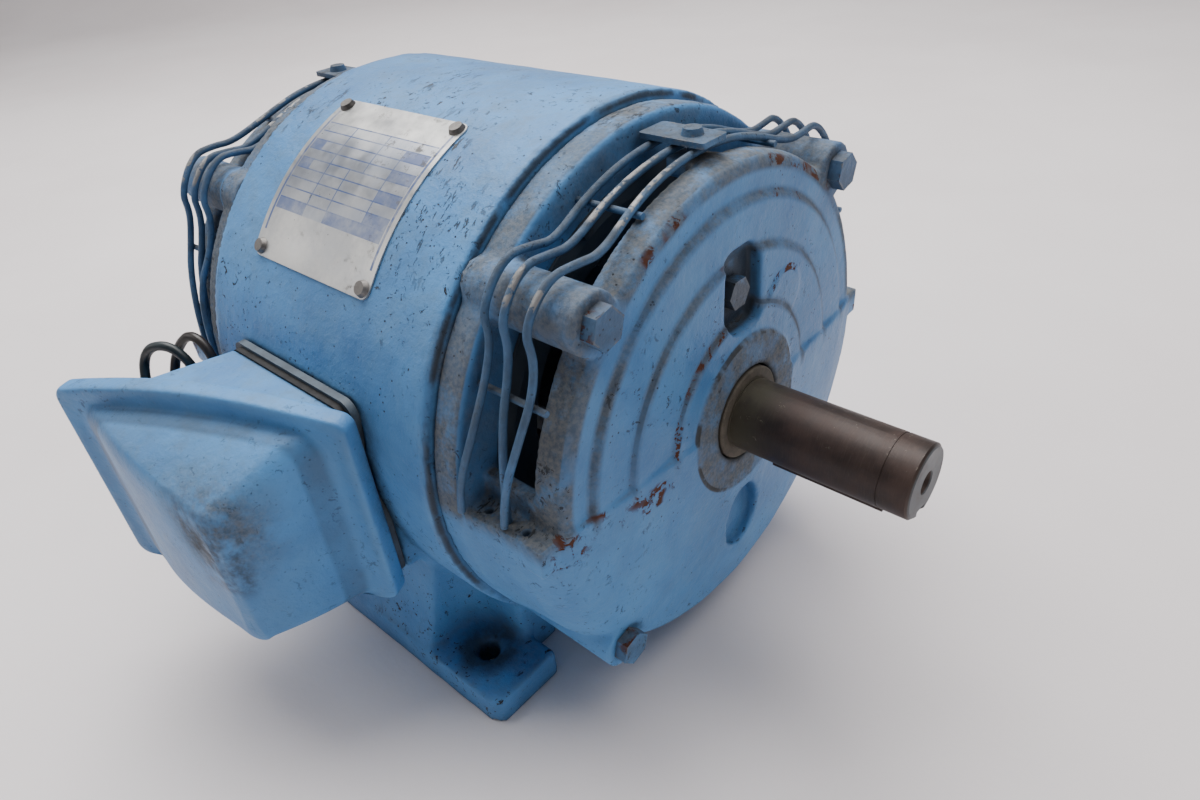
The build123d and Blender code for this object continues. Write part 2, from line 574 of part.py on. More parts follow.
with BuildPart() as bearing_snap_ring:
    ring_bore_r, ring_r = REAR_JOURNAL_R - SNAP_RING_DEPTH, REAR_JOURNAL_R + 1.4
    add(turned([(SNAP_RING_X, ring_bore_r), (REAR_SEAT_OUT, ring_bore_r), (REAR_SEAT_OUT, ring_r),
                (SNAP_RING_X, ring_r)]))
    with Locations((SNAP_RING_X, 0, SHAFT_Z + REAR_JOURNAL_R)):
        Box(4, 5, 6, mode=Mode.SUBTRACT)

# ---- Grease plugs, baffles -------------------------------------------------------------------------
with BuildPart() as grease_plugs:
    for plug_x, way in ((drive_end(43), 1), (rear_end(43), -1)):
        with BuildSketch(axial(plug_x)):
            with Locations(GREASE_PLUG_PLACE):
                Circle(4.0)
        extrude(amount=way * 4.2)
        with BuildSketch(axial(plug_x + way * 4.2)):
            with Locations(GREASE_PLUG_PLACE):
                RegularPolygon(5.5, 6, major_radius=False)
        extrude(amount=way * 4.5)

BAFFLE_OUTLINE = [(FLANGE_WIDTH, 84.8), (FLANGE_WIDTH, 90.8), (FLANGE_WIDTH + 1.2, 90.8),
                  (FLANGE_WIDTH + 1.2, 84.0), (5.2, 64.0), (4.0, 64.0), (4.0, 65.2), (12.2, 84.2)]

with BuildPart() as drive_air_baffle:
    add(turned([(drive_end(a), r) for a, r in BAFFLE_OUTLINE]))
    with BuildSketch(axial(drive_end(0))):
        with Locations(*bolt_places(BAFFLE_CIRCLE_R, BAFFLE_ANGLES)):
            Circle(BAFFLE_SCREW_R)
    extrude(amount=20, mode=Mode.SUBTRACT)

with BuildPart() as rear_air_baffle:
    add(turned([(rear_end(a), r) for a, r in BAFFLE_OUTLINE]))
    with BuildSketch(axial(rear_end(0))):
        with Locations(*bolt_places(BAFFLE_CIRCLE_R, BAFFLE_ANGLES)):
            Circle(BAFFLE_SCREW_R)
    extrude(amount=-20, mode=Mode.SUBTRACT)

with BuildPart() as baffle_screws:
    for face_x, way in ((drive_end(FLANGE_WIDTH + 1.2), 1), (rear_end(FLANGE_WIDTH + 1.2), -1)):
        with BuildSketch(axial(face_x)):
            with Locations(*bolt_places(BAFFLE_CIRCLE_R, BAFFLE_ANGLES)):
                Circle(2.7)
        extrude(amount=way * 1.8, taper=12)
        with BuildSketch(axial(face_x)):
            with Locations(*bolt_places(BAFFLE_CIRCLE_R, BAFFLE_ANGLES)):
                Circle(BAFFLE_SCREW_R)
        extrude(amount=-way * 6)

# ---- Nameplate -------------------------------------------------------------------------------------
with BuildPart() as nameplate:
    with BuildSketch(axial(PLATE_X - PLATE_WIDTH / 2)):
        Circle(FRAME_R + PLATE_THICKNESS)
        Circle(FRAME_R, mode=Mode.SUBTRACT)
    extrude(amount=PLATE_WIDTH)
    with BuildSketch(radial_plane(PLATE_X, PLATE_ANGLE, 60)):
        RectangleRounded(PLATE_WIDTH, 2 * FRAME_R * sin(radians(PLATE_ARC / 2)), 4)
    extrude(amount=80, mode=Mode.INTERSECT)
    for dx in (-DRIVE_SCREW_X, DRIVE_SCREW_X):
        for da in (-DRIVE_SCREW_ARC, DRIVE_SCREW_ARC):
            with BuildSketch(radial_plane(PLATE_X + dx, PLATE_ANGLE + da, FRAME_R + 2)):
                Circle(1.6)
            extrude(amount=-8, mode=Mode.SUBTRACT)

with BuildPart() as nameplate_screws:
    for dx in (-DRIVE_SCREW_X, DRIVE_SCREW_X):
        for da in (-DRIVE_SCREW_ARC, DRIVE_SCREW_ARC):
            top = FRAME_R + PLATE_THICKNESS
            with BuildSketch(radial_plane(PLATE_X + dx, PLATE_ANGLE + da, top + 0.02)):
                Circle(3.3)
            extrude(amount=1.7, taper=25)
            with BuildSketch(radial_plane(PLATE_X + dx, PLATE_ANGLE + da, top + 0.02)):
                Circle(1.6)
            extrude(amount=-6)

# ---- Conduit box -----------------------------------------------------------------------------------
PAD_PLANE = Plane((BOX_X, BOX_PAD_Y, BOX_Z), x_dir=(1, 0, 0), z_dir=(0, -1, 0))
SCREW_GRID = (56, 60, 2, 2)


def pad_sheet(depth, thickness, inset, hole_r):
    """A flat layer between the frame's pad and the box, with a lead passage and four screw holes."""
    with BuildPart() as sheet:
        with BuildSketch(PAD_PLANE.offset(depth)):
            RectangleRounded(BOX_PAD[0] - 2 * inset, BOX_PAD[1] - 2 * inset, 6)
            Circle(hole_r, mode=Mode.SUBTRACT)
            with GridLocations(*SCREW_GRID):
                Circle(2.7, mode=Mode.SUBTRACT)
        extrude(amount=thickness)
    return sheet.part


with BuildPart() as box_frame_gasket:
    add(pad_sheet(0, GASKET_THIN, 1.6, 19))

with BuildPart() as box_spacer_plate:
    add(pad_sheet(GASKET_THIN, SPACER, 0, 20))

with BuildPart() as box_base_gasket:
    add(pad_sheet(GASKET_THIN + SPACER, GASKET_THICK, 1.6, 19))

SPLIT_RUN = (LIP_NEAR[0] - LIP_FAR[0], LIP_NEAR[1] - LIP_FAR[1])
SPLIT_LENGTH = hypot(*SPLIT_RUN)
SPLIT_ANGLE = degrees(atan2(SPLIT_RUN[1], SPLIT_RUN[0]))
ALONG = (cos(radians(SPLIT_ANGLE)), sin(radians(SPLIT_ANGLE)))
OUTWARD = (ALONG[1], -ALONG[0])


def split_point(u, w):
    """Plan position of a point u along the split from its far end and w outwards from it."""
    return (LIP_FAR[0] + u * ALONG[0] + w * OUTWARD[0], LIP_FAR[1] + u * ALONG[1] + w * OUTWARD[1])


def prism(points, bottom, top, rounded=None, radius=0.0):
    """Upright prism on a plan outline. The corner at the point rounded is given that radius."""
    with BuildPart() as block:
        with BuildSketch(Plane.XY.offset(bottom)) as plan:
            with BuildLine():
                Polyline(*points, close=True)
            make_face()
            if rounded:
                fillet(plan.vertices().sort_by_distance(Vector(*rounded, bottom))[0], radius)
        extrude(amount=top - bottom)
    return block.part


BASE_NEAR_U, BASE_FAR_U = 125.0, 9.5
COVER_SCREW_PLACES = [split_point(u, -2.6) for u in (24.0, 112.0)]
COVER_SCREW_R = 1.6
BASE_BACK = ((-49.0, BOX_BACK_Y), (38.5, BOX_BACK_Y))
BASE_FAR = split_point(BASE_FAR_U, 0)

# The lead hole is in the middle of the rear wall, which slopes outwards from the frame to the split.
REAR_WALL_ANGLE = degrees(atan2(BASE_BACK[0][0] - BASE_FAR[0], BASE_BACK[0][1] - BASE_FAR[1]))
LEAD_PLANE = Plane(((BASE_BACK[0][0] + BASE_FAR[0]) / 2, (BASE_BACK[0][1] + BASE_FAR[1]) / 2, BOX_Z),
                   x_dir=(0, 0, 1), z_dir=(-cos(radians(REAR_WALL_ANGLE)), sin(radians(REAR_WALL_ANGLE)), 0))

with BuildPart() as conduit_box_base:
    outline = [BASE_BACK[0], BASE_BACK[1], split_point(BASE_NEAR_U, 0), split_point(BASE_FAR_U, 0)]
    add(prism(outline, BOX_BOTTOM, BOX_TOP))
    rear_face = conduit_box_base.faces().sort_by(Axis.X)[0]
    fillet(rear_face.edges().sort_by(Axis.Z)[-1], 7.0)
    fillet(rear_face.edges().sort_by(Axis.Z)[0], 4.0)
    inner = [(-45.5, BOX_BACK_Y - BOX_WALL), (36.0, BOX_BACK_Y - BOX_WALL),
             split_point(BASE_NEAR_U - 3, 0.5), split_point(BASE_FAR_U + 3, 0.5)]
    add(prism(inner, BOX_BOTTOM + BOX_WALL, BOX_TOP - BOX_WALL), mode=Mode.SUBTRACT)
    with BuildSketch(PAD_PLANE.offset(GASKET_THIN + SPACER + GASKET_THICK - 1)):
        Circle(19)
        with GridLocations(*SCREW_GRID):
            Circle(2.7)
    extrude(amount=BOX_WALL + 2, mode=Mode.SUBTRACT)
    with Locations(*[(x, y, LIP_BOTTOM) for x, y in COVER_SCREW_PLACES]):
        Cylinder(COVER_SCREW_R, 16, mode=Mode.SUBTRACT)
    with BuildSketch(LEAD_PLANE):
        Circle(LEAD_HOLE_R)
    extrude(amount=-8, mode=Mode.SUBTRACT)

RIDGE_U, RIDGE_W = 88.0, 36.0
COVER_U = (14.0, 114.0)
COVER_TOP, COVER_BOTTOM, RIDGE_TOP = 140.0, 62.0, 121.0
COVER_WALL = 2.5


def cover_wedge(inset):
    """The swelling of the cover: a three-sided wedge with a sloping top, shrunk by inset on each side."""
    ridge = split_point(RIDGE_U, RIDGE_W - 1.3 * inset)
    corners = [split_point(COVER_U[0] + 2.2 * inset, 0), split_point(COVER_U[1] - 1.6 * inset, 0),
               split_point(COVER_U[1] - 1.6 * inset, 4), ridge, split_point(COVER_U[0] + 2.2 * inset, 4)]
    with BuildPart() as wedge:
        add(prism(corners, COVER_BOTTOM + inset, COVER_TOP - inset, rounded=ridge, radius=8.0 - inset))
        slope = atan2(COVER_TOP - RIDGE_TOP, RIDGE_W - 4)
        knife = Plane((*split_point(RIDGE_U, 4), COVER_TOP - 1.2 * inset), x_dir=(*ALONG, 0),
                      z_dir=(OUTWARD[0] * sin(slope), OUTWARD[1] * sin(slope), cos(slope)))
        split(bisect_by=knife, keep=Keep.BOTTOM)
    return wedge.part


with BuildPart() as conduit_box_cover:
    lip = [split_point(u, w) for u, w in ((0, -5), (SPLIT_LENGTH, -5), (SPLIT_LENGTH, 4), (0, 4))]
    add(prism(lip, LIP_BOTTOM, LIP_TOP))
    outward_edges = conduit_box_cover.edges().filter_by(Plane((0, 0, 0), z_dir=(ALONG[0], ALONG[1], 0)))
    fillet([e for e in outward_edges if abs(e.tangent_at(0).Z) < 0.01], 9.0)
    add(cover_wedge(0))
    recess_far, recess_near = BASE_FAR_U - 0.6, BASE_NEAR_U + 1.4
    recess = [split_point(u, w) for u, w in ((recess_far, -6), (recess_near, -6), (recess_near, 0),
                                             (recess_far, 0))]
    add(prism(recess, BOX_BOTTOM - 0.3, BOX_TOP + 0.3), mode=Mode.SUBTRACT)
    add(cover_wedge(COVER_WALL), mode=Mode.SUBTRACT)
    with Locations(*[(x, y, LIP_BOTTOM) for x, y in COVER_SCREW_PLACES]):
        Cylinder(COVER_SCREW_R, 16, mode=Mode.SUBTRACT)

with BuildPart() as box_mounting_screws:
    head_y = GASKET_THIN + SPACER + GASKET_THICK + BOX_WALL
    with BuildSketch(PAD_PLANE.offset(head_y)):
        with GridLocations(*SCREW_GRID):
            Circle(4.6)
    extrude(amount=3.2)
    with BuildSketch(PAD_PLANE.offset(head_y)):
        with GridLocations(*SCREW_GRID):
            Circle(2.5)
    extrude(amount=-head_y - 8)

with BuildPart() as cover_screws:
    with BuildSketch(Plane.XY.offset(LIP_BOTTOM)):
        with Locations(*COVER_SCREW_PLACES):
            Circle(2 * COVER_SCREW_R)
    extrude(amount=-2.2)
    with BuildSketch(Plane.XY.offset(LIP_BOTTOM)):
        with Locations(*COVER_SCREW_PLACES):
            Circle(COVER_SCREW_R)
    extrude(amount=8)

with BuildPart() as ground_screw:
    with BuildSketch(PAD_PLANE.offset(GASKET_THIN + SPACER + GASKET_THICK + BOX_WALL)):
        with Locations((28, 0)):
            RegularPolygon(4, 6, major_radius=False)
    extrude(amount=3)

# ---- Motor leads -----------------------------------------------------------------------------------
with BuildPart() as lead_bushing:
    with BuildSketch(LEAD_PLANE):
        Circle(LEAD_HOLE_R)
        Circle(LEAD_HOLE_R - 3, mode=Mode.SUBTRACT)
    extrude(amount=-BOX_WALL - 1)
    with BuildSketch(LEAD_PLANE):
        Circle(LEAD_HOLE_R + 2.5)
        Circle(LEAD_HOLE_R - 3, mode=Mode.SUBTRACT)
    extrude(amount=2.5)
    fillet(lead_bushing.edges().filter_by(GeomType.CIRCLE).sort_by(Axis.X)[0], 0.8)

LEAD_R = 2.1
BROWN_LEAD = [(-50, -144.5, 99.5), (-59, -141.7, 99.5), (-69, -138, 100), (-80, -133.5, 105),
              (-89, -129.5, 114), (-91.5, -124.5, 125), (-87, -120.5, 134.5), (-79, -117.8, 140.5),
              (-70.5, -116.3, 138.5), (-66, -116.2, 129.5), (-65.5, -117.5, 119), (-67.5, -121.5, 110),
              (-66.5, -127.5, 102.5), (-61.5, -132.5, 99.3), (-54.5, -135.3, 98.7)]
BLUE_LEAD = [(-50, -146, 107), (-60, -142.9, 107), (-71, -140.5, 107.5), (-83, -140.5, 111.5),
             (-93, -138.5, 120), (-96, -134.5, 130), (-91, -131, 137), (-83, -126.5, 138),
             (-76.5, -123.5, 132.5), (-74.5, -122.5, 123), (-74, -125, 113.5), (-69.5, -129.8, 107),
             (-61.5, -133.5, 105.3), (-53, -136.1, 105.3)]


def bend_radii(points):
    """Largest arc that each corner of a route has room for."""
    radii = []
    for before, corner, after in zip(points, points[1:], points[2:]):
        run_in, run_out = Vector(*corner) - Vector(*before), Vector(*after) - Vector(*corner)
        half_turn = radians(run_in.get_angle(run_out)) / 2
        radii.append(0.45 * min(run_in.length, run_out.length) / tan(half_turn))
    return radii


def motor_lead(points):
    """A limp lead that loops out of the bushing and back in."""
    radii = bend_radii(points)
    with BuildPart() as lead:
        with BuildLine() as path:
            FilletPolyline(*points, radius=radii)
        with BuildSketch(Plane(path.line @ 0, z_dir=path.line % 0)):
            Circle(LEAD_R)
        sweep(path=path.line)
    length = path.wires()[0].length
    print("lead radii", [round(r, 1) for r in radii], "length", round(length, 1),
          "volume over section times length", round(lead.part.volume / (pi * LEAD_R ** 2 * length), 4))
    return lead.part


with BuildPart() as motor_lead_brown:
    add(motor_lead(BROWN_LEAD))

with BuildPart() as motor_lead_blue:
    add(motor_lead(BLUE_LEAD))

NODES = {
    "stator_frame": stator_frame, "drive_end_bell": drive_end_bell, "rear_end_bell": rear_end_bell,
    "drive_bell_bolts": drive_bell_bolts, "rear_bell_bolts": rear_bell_bolts,
    "drive_wire_guard": drive_wire_guard, "rear_wire_guard": rear_wire_guard,
    "guard_clips": guard_clips, "guard_clip_screws": guard_clip_screws,
    "stator_core": stator_core, "stator_winding": stator_winding, "slot_wedges": slot_wedges,
    "rotor_core": rotor_core, "rotor_cage": rotor_cage, "shaft": shaft, "shaft_key": shaft_key,
    "shaft_slinger": shaft_slinger,
    "drive_bearing_outer": drive_bearing_outer, "drive_bearing_inner": drive_bearing_inner,
    "drive_bearing_balls": drive_bearing_balls, "drive_bearing_cage": drive_bearing_cage,
    "rear_bearing_outer": rear_bearing_outer, "rear_bearing_inner": rear_bearing_inner,
    "rear_bearing_balls": rear_bearing_balls, "rear_bearing_cage": rear_bearing_cage,
    "bearing_preload_washer": bearing_preload_washer, "bearing_snap_ring": bearing_snap_ring,
    "grease_plugs": grease_plugs, "drive_air_baffle": drive_air_baffle, "rear_air_baffle": rear_air_baffle,
    "baffle_screws": baffle_screws, "nameplate": nameplate, "nameplate_screws": nameplate_screws,
    "box_frame_gasket": box_frame_gasket, "box_spacer_plate": box_spacer_plate,
    "box_base_gasket": box_base_gasket, "conduit_box_base": conduit_box_base,
    "conduit_box_cover": conduit_box_cover, "box_mounting_screws": box_mounting_screws,
    "cover_screws": cover_screws, "ground_screw": ground_screw, "lead_bushing": lead_bushing,
    "motor_lead_brown": motor_lead_brown, "motor_lead_blue": motor_lead_blue,
}

os.makedirs("parts", exist_ok=True)
for name, piece in NODES.items():
    piece.part.label = name
    export_step(piece.part, f"parts/{name}.step")
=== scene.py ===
import json
import math

import bmesh
import bpy
from mathutils import Matrix, Vector


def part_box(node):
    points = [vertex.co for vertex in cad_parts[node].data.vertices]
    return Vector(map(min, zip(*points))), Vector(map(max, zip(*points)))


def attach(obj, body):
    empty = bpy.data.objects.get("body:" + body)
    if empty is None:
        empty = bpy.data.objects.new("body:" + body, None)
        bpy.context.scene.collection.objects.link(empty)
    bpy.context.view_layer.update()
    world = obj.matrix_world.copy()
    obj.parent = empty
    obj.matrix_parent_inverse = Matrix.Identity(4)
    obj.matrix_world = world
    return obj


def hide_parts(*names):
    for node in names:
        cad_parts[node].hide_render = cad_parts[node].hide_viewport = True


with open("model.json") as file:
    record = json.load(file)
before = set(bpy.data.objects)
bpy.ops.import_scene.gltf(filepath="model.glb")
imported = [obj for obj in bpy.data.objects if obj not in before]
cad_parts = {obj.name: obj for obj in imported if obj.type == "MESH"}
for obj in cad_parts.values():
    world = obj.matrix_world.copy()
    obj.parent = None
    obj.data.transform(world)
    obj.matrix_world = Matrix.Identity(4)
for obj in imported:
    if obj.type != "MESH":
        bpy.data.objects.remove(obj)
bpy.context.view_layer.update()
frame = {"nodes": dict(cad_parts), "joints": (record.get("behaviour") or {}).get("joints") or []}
nodes = frame["nodes"]

# ---- Places worked out from the frame ----------------------------------------------------------------
SHAFT_Z = frame["joints"][0]["pos_m"][2]            # height of the shaft axis
FRAME_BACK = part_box("stator_core")[0][0] - 0.02585  # rear and front faces of the stator frame
FRAME_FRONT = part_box("stator_core")[1][0] + 0.02585
SHOULDER_X, SHAFT_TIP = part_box("shaft_slinger")[1][0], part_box("shaft")[1][0]
FOOT_HOLE = (0.05715, 0.09525, 0.015)               # top of a foot hole, on any side
STEP_RADII = (0.0825, 0.0645, 0.0430)               # of the steps in each end bell's face
BARREL_R = 0.1129                                   # of the frame, where the nameplate lies on it
PLATE_LOW, PLATE_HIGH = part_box("nameplate")
PLATE_ANGLE = 127.0                                 # of the nameplate's middle round the shaft, in degrees
WIRE_R, CROSS_WIRE_R, LEAD_R = 0.0014, 0.0012, 0.0021   # of the guards' wires and the motor leads
LIP_FAR = Vector((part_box("conduit_box_cover")[0][0], -0.1715, 0))   # far end of the box's diagonal split
ALONG = Vector((0.909432, 0.415852, 0))             # along that split, and outwards from it
OUTWARD = Vector((0.415852, -0.909432, 0))
SPLIT_LENGTH = 0.12865
RIDGE_TOP = LIP_FAR + ALONG * 0.086 + OUTWARD * 0.033 + Vector((0, 0, 0.121))   # top of the cover's ridge
COVER_SHEET = 0.0016
CAMERA_AZIMUTH = 44.32                              # from -Y round towards the shaft's end, in degrees


# ---- Camera, floor and light -------------------------------------------------------------------------
def add_camera():
    """The viewpoint of the photograph: a wide lens close to the motor, slightly rolled."""
    azimuth, elevation, roll = (math.radians(a) for a in (CAMERA_AZIMUTH, 35.2, -5.6))
    back = Vector((math.sin(azimuth) * math.cos(elevation), -math.cos(azimuth) * math.cos(elevation),
                   math.sin(elevation)))
    level = Vector((math.cos(azimuth), math.sin(azimuth), 0))
    upright = back.cross(level)
    right = level * math.cos(roll) + upright * math.sin(roll)
    up = upright * math.cos(roll) - level * math.sin(roll)
    camera = bpy.data.objects.new("camera", bpy.data.cameras.new("camera"))
    camera.data.lens, camera.data.sensor_width = 24.73, 36.0
    camera.data.clip_start = 0.01
    camera.matrix_world = Matrix.Translation((0.26385, -0.22234, 0.30698)) @ Matrix(
        (right, up, back)).transposed().to_4x4()
    bpy.context.collection.objects.link(camera)
    bpy.context.scene.camera = camera


def add_light(name, place, target, size, power, colour):
    """A square soft box that faces its target."""
    lamp = bpy.data.lights.new(name, "AREA")
    lamp.size, lamp.energy, lamp.color = size, power, colour
    light = bpy.data.objects.new(name, lamp)
    light.location = place
    light.rotation_euler = (Vector(target) - Vector(place)).to_track_quat("-Z", "Y").to_euler()
    bpy.context.collection.objects.link(light)


def add_floor(material):
    """A pale sheet under the motor that sweeps up behind it."""
    bm = bmesh.new()
    half, half_width, wall, sweep = 2.2, 3.0, 1.6, 0.5
    profile = [(-half, 0.0)] + [(half - sweep + sweep * math.sin(a), sweep - sweep * math.cos(a))
                                for a in (math.radians(d) for d in range(0, 91, 10))] + [(half, wall)]
    rows = []
    turn = Matrix.Rotation(math.radians(CAMERA_AZIMUTH + 90), 3, "Z")
    for along, up in profile:
        rows.append([bm.verts.new(turn @ Vector((along, across, 0)) + Vector((0, 0, up)))
                     for across in (-half_width, half_width)])
    for low, high in zip(rows, rows[1:]):
        bm.faces.new((low[0], low[1], high[1], high[0]))
    mesh = bpy.data.meshes.new("floor")
    bm.to_mesh(mesh)
    for face in mesh.polygons:
        face.use_smooth = True
    floor = bpy.data.objects.new("floor", mesh)
    floor.data.materials.append(material)
    bpy.context.collection.objects.link(floor)


# ---- Node material helpers ---------------------------------------------------------------------------
class Surface:
    """A Principled material whose inputs come from chained node helpers. Lengths are in metres."""

    def __init__(self, name, metallic=0.0):
        self.material = bpy.data.materials.new(name)
        self.material.use_nodes = True
        self.tree = self.material.node_tree
        self.shader = self.tree.nodes["Principled BSDF"]
        self.shader.inputs["Metallic"].default_value = metallic
        self.coords = self.tree.nodes.new("ShaderNodeTexCoord").outputs["Object"]

    def node(self, kind, inputs=(), **settings):
        """A new node with its settings, and its inputs set to numbers or linked to sockets."""
        new = self.tree.nodes.new(kind)
        for key, value in settings.items():
            setattr(new, key, value)
        for key, value in dict(inputs).items():
            self.feed(new.inputs[key], value)
        return new

    def feed(self, socket, value):
        """Links a socket to another one, or sets it to a number or a colour."""
        if isinstance(value, bpy.types.NodeSocket):
            self.tree.links.new(value, socket)
        elif isinstance(value, tuple) and len(value) == 3 and socket.type == "RGBA":
            socket.default_value = (*value, 1)
        else:
            socket.default_value = value

    def noise(self, size, detail=3.0, rough=0.55, where=None, warp=0.0):
        """Noise from 0 to 1 with features about size across."""
        return self.node("ShaderNodeTexNoise", {"Vector": where or self.coords, "Scale": 0.5 / size,
                         "Detail": detail, "Roughness": rough, "Distortion": warp}).outputs["Fac"]

    def cells(self, size):
        """Distance from the nearest of scattered points that are about size apart, 0 to about 1."""
        return self.node("ShaderNodeTexVoronoi",
                         {"Vector": self.coords, "Scale": 1 / size}).outputs["Distance"]

    def stretched(self, scale):
        """The coordinates scaled along each axis, for noise that is drawn out along the smallest."""
        return self.node("ShaderNodeMapping", {"Vector": self.coords, "Scale": scale}).outputs[0]

    def ramp(self, value, low, high, start=0.0, end=1.0):
        """Smooth step of value: start below low, end above high."""
        return self.node("ShaderNodeMapRange", {"Value": value, "From Min": low, "From Max": high,
                         "To Min": start, "To Max": end}, interpolation_type="SMOOTHSTEP").outputs[0]

    def math(self, operation, first, second=0.0):
        """One arithmetic step on two numbers."""
        return self.node("ShaderNodeMath", {0: first, 1: second}, operation=operation).outputs[0]

    def times(self, *values):
        """Product of several numbers."""
        result = values[0]
        for value in values[1:]:
            result = self.math("MULTIPLY", result, value)
        return result

    def most(self, *values):
        """Largest of several numbers."""
        result = values[0]
        for value in values[1:]:
            result = self.math("MAXIMUM", result, value)
        return result

    def band(self, value, low, high, soft):
        """1 where value is between low and high, fading over soft outside that."""
        return self.times(self.ramp(value, low - soft, low), self.ramp(value, high, high + soft, 1.0, 0.0))

    def mix(self, amount, first, second):
        """Colour between first and second."""
        mixer = self.node("ShaderNodeMix", data_type="RGBA")
        self.feed(mixer.inputs["Factor"], amount)
        self.feed(mixer.inputs[6], first)
        self.feed(mixer.inputs[7], second)
        return mixer.outputs[2]

    def blend(self, amount, first, second):
        """Number between first and second."""
        mixer = self.node("ShaderNodeMix", data_type="FLOAT")
        self.feed(mixer.inputs["Factor"], amount)
        self.feed(mixer.inputs[2], first)
        self.feed(mixer.inputs[3], second)
        return mixer.outputs[0]

    def axes(self):
        """X, Y and Z of the point."""
        return self.node("ShaderNodeSeparateXYZ", {0: self.coords}).outputs

    def distance(self, across, up):
        """Length of the hypotenuse over two lengths."""
        return self.math("SQRT", self.math("ADD", self.times(across, across), self.times(up, up)))

    def round_shaft(self):
        """Distance from the shaft's axis, and the angle round it in degrees."""
        x, y, z = self.axes()
        over = self.math("SUBTRACT", z, SHAFT_Z)
        return self.distance(y, over), self.math("DEGREES", self.math("ARCTAN2", over, y))

    def away_from(self, place, mirrored=False):
        """Distance from a place, or from the nearest of it and its mirror images on all sides."""
        where = self.coords
        if mirrored:
            where = self.node("ShaderNodeVectorMath", {0: where}, operation="ABSOLUTE").outputs[0]
        gap = self.node("ShaderNodeVectorMath", {0: where}, operation="DISTANCE")
        gap.inputs[1].default_value = place
        return gap.outputs["Value"]

    def facing(self, direction):
        """How far the surface faces a direction, from -1 to 1."""
        normal = self.node("ShaderNodeNewGeometry").outputs["Normal"]
        dot = self.node("ShaderNodeVectorMath", {0: normal}, operation="DOT_PRODUCT")
        dot.inputs[1].default_value = direction
        return dot.outputs["Value"]

    def corner(self, radius):
        """1 on convex edges and creases within about radius, and 0 on flat stretches."""
        soft = self.node("ShaderNodeBevel", {"Radius": radius}, samples=4).outputs["Normal"]
        hard = self.node("ShaderNodeNewGeometry").outputs["Normal"]
        dot = self.node("ShaderNodeVectorMath", {0: soft, 1: hard}, operation="DOT_PRODUCT")
        return self.ramp(dot.outputs["Value"], 0.995, 0.86)

    def occlusion_shade(self, distance):
        """Ambient occlusion mask, used for painted shade: 1 in corners that are closed in within distance,
        and 0 in the open.
        """
        shade = self.node("ShaderNodeAmbientOcclusion", {"Distance": distance}, samples=4).outputs["AO"]
        return self.ramp(shade, 0.85, 0.35)

    def bump(self, height, depth, below=None):
        """Normal for a height from 0 to 1 that is depth deep, over another bump."""
        new = self.node("ShaderNodeBump", {"Height": height, "Distance": depth, "Strength": 1.0})
        if below is not None:
            self.feed(new.inputs["Normal"], below)
        return new.outputs["Normal"]

    def finish(self, **inputs):
        """Feeds the shader's inputs, whose names are given with underscores for spaces."""
        for key, value in inputs.items():
            self.feed(self.shader.inputs[key.replace("_", " ")], value)
        return self.material


BLUE_LIGHT, BLUE_DEEP, BLUE_CHALKY = (0.092, 0.300, 0.630), (0.052, 0.175, 0.400), (0.140, 0.325, 0.570)
BLUE_DIRTY = (0.110, 0.150, 0.185)
# The second colour on the next line is dark dirt, and also the painted shade in corners and creases.
DUST, GRIME_AND_SHADE = (0.150, 0.135, 0.105), (0.030, 0.030, 0.028)
RUST, PRIMER = (0.120, 0.036, 0.018), (0.018, 0.020, 0.023)
BARE_STEEL = (0.33, 0.33, 0.33)


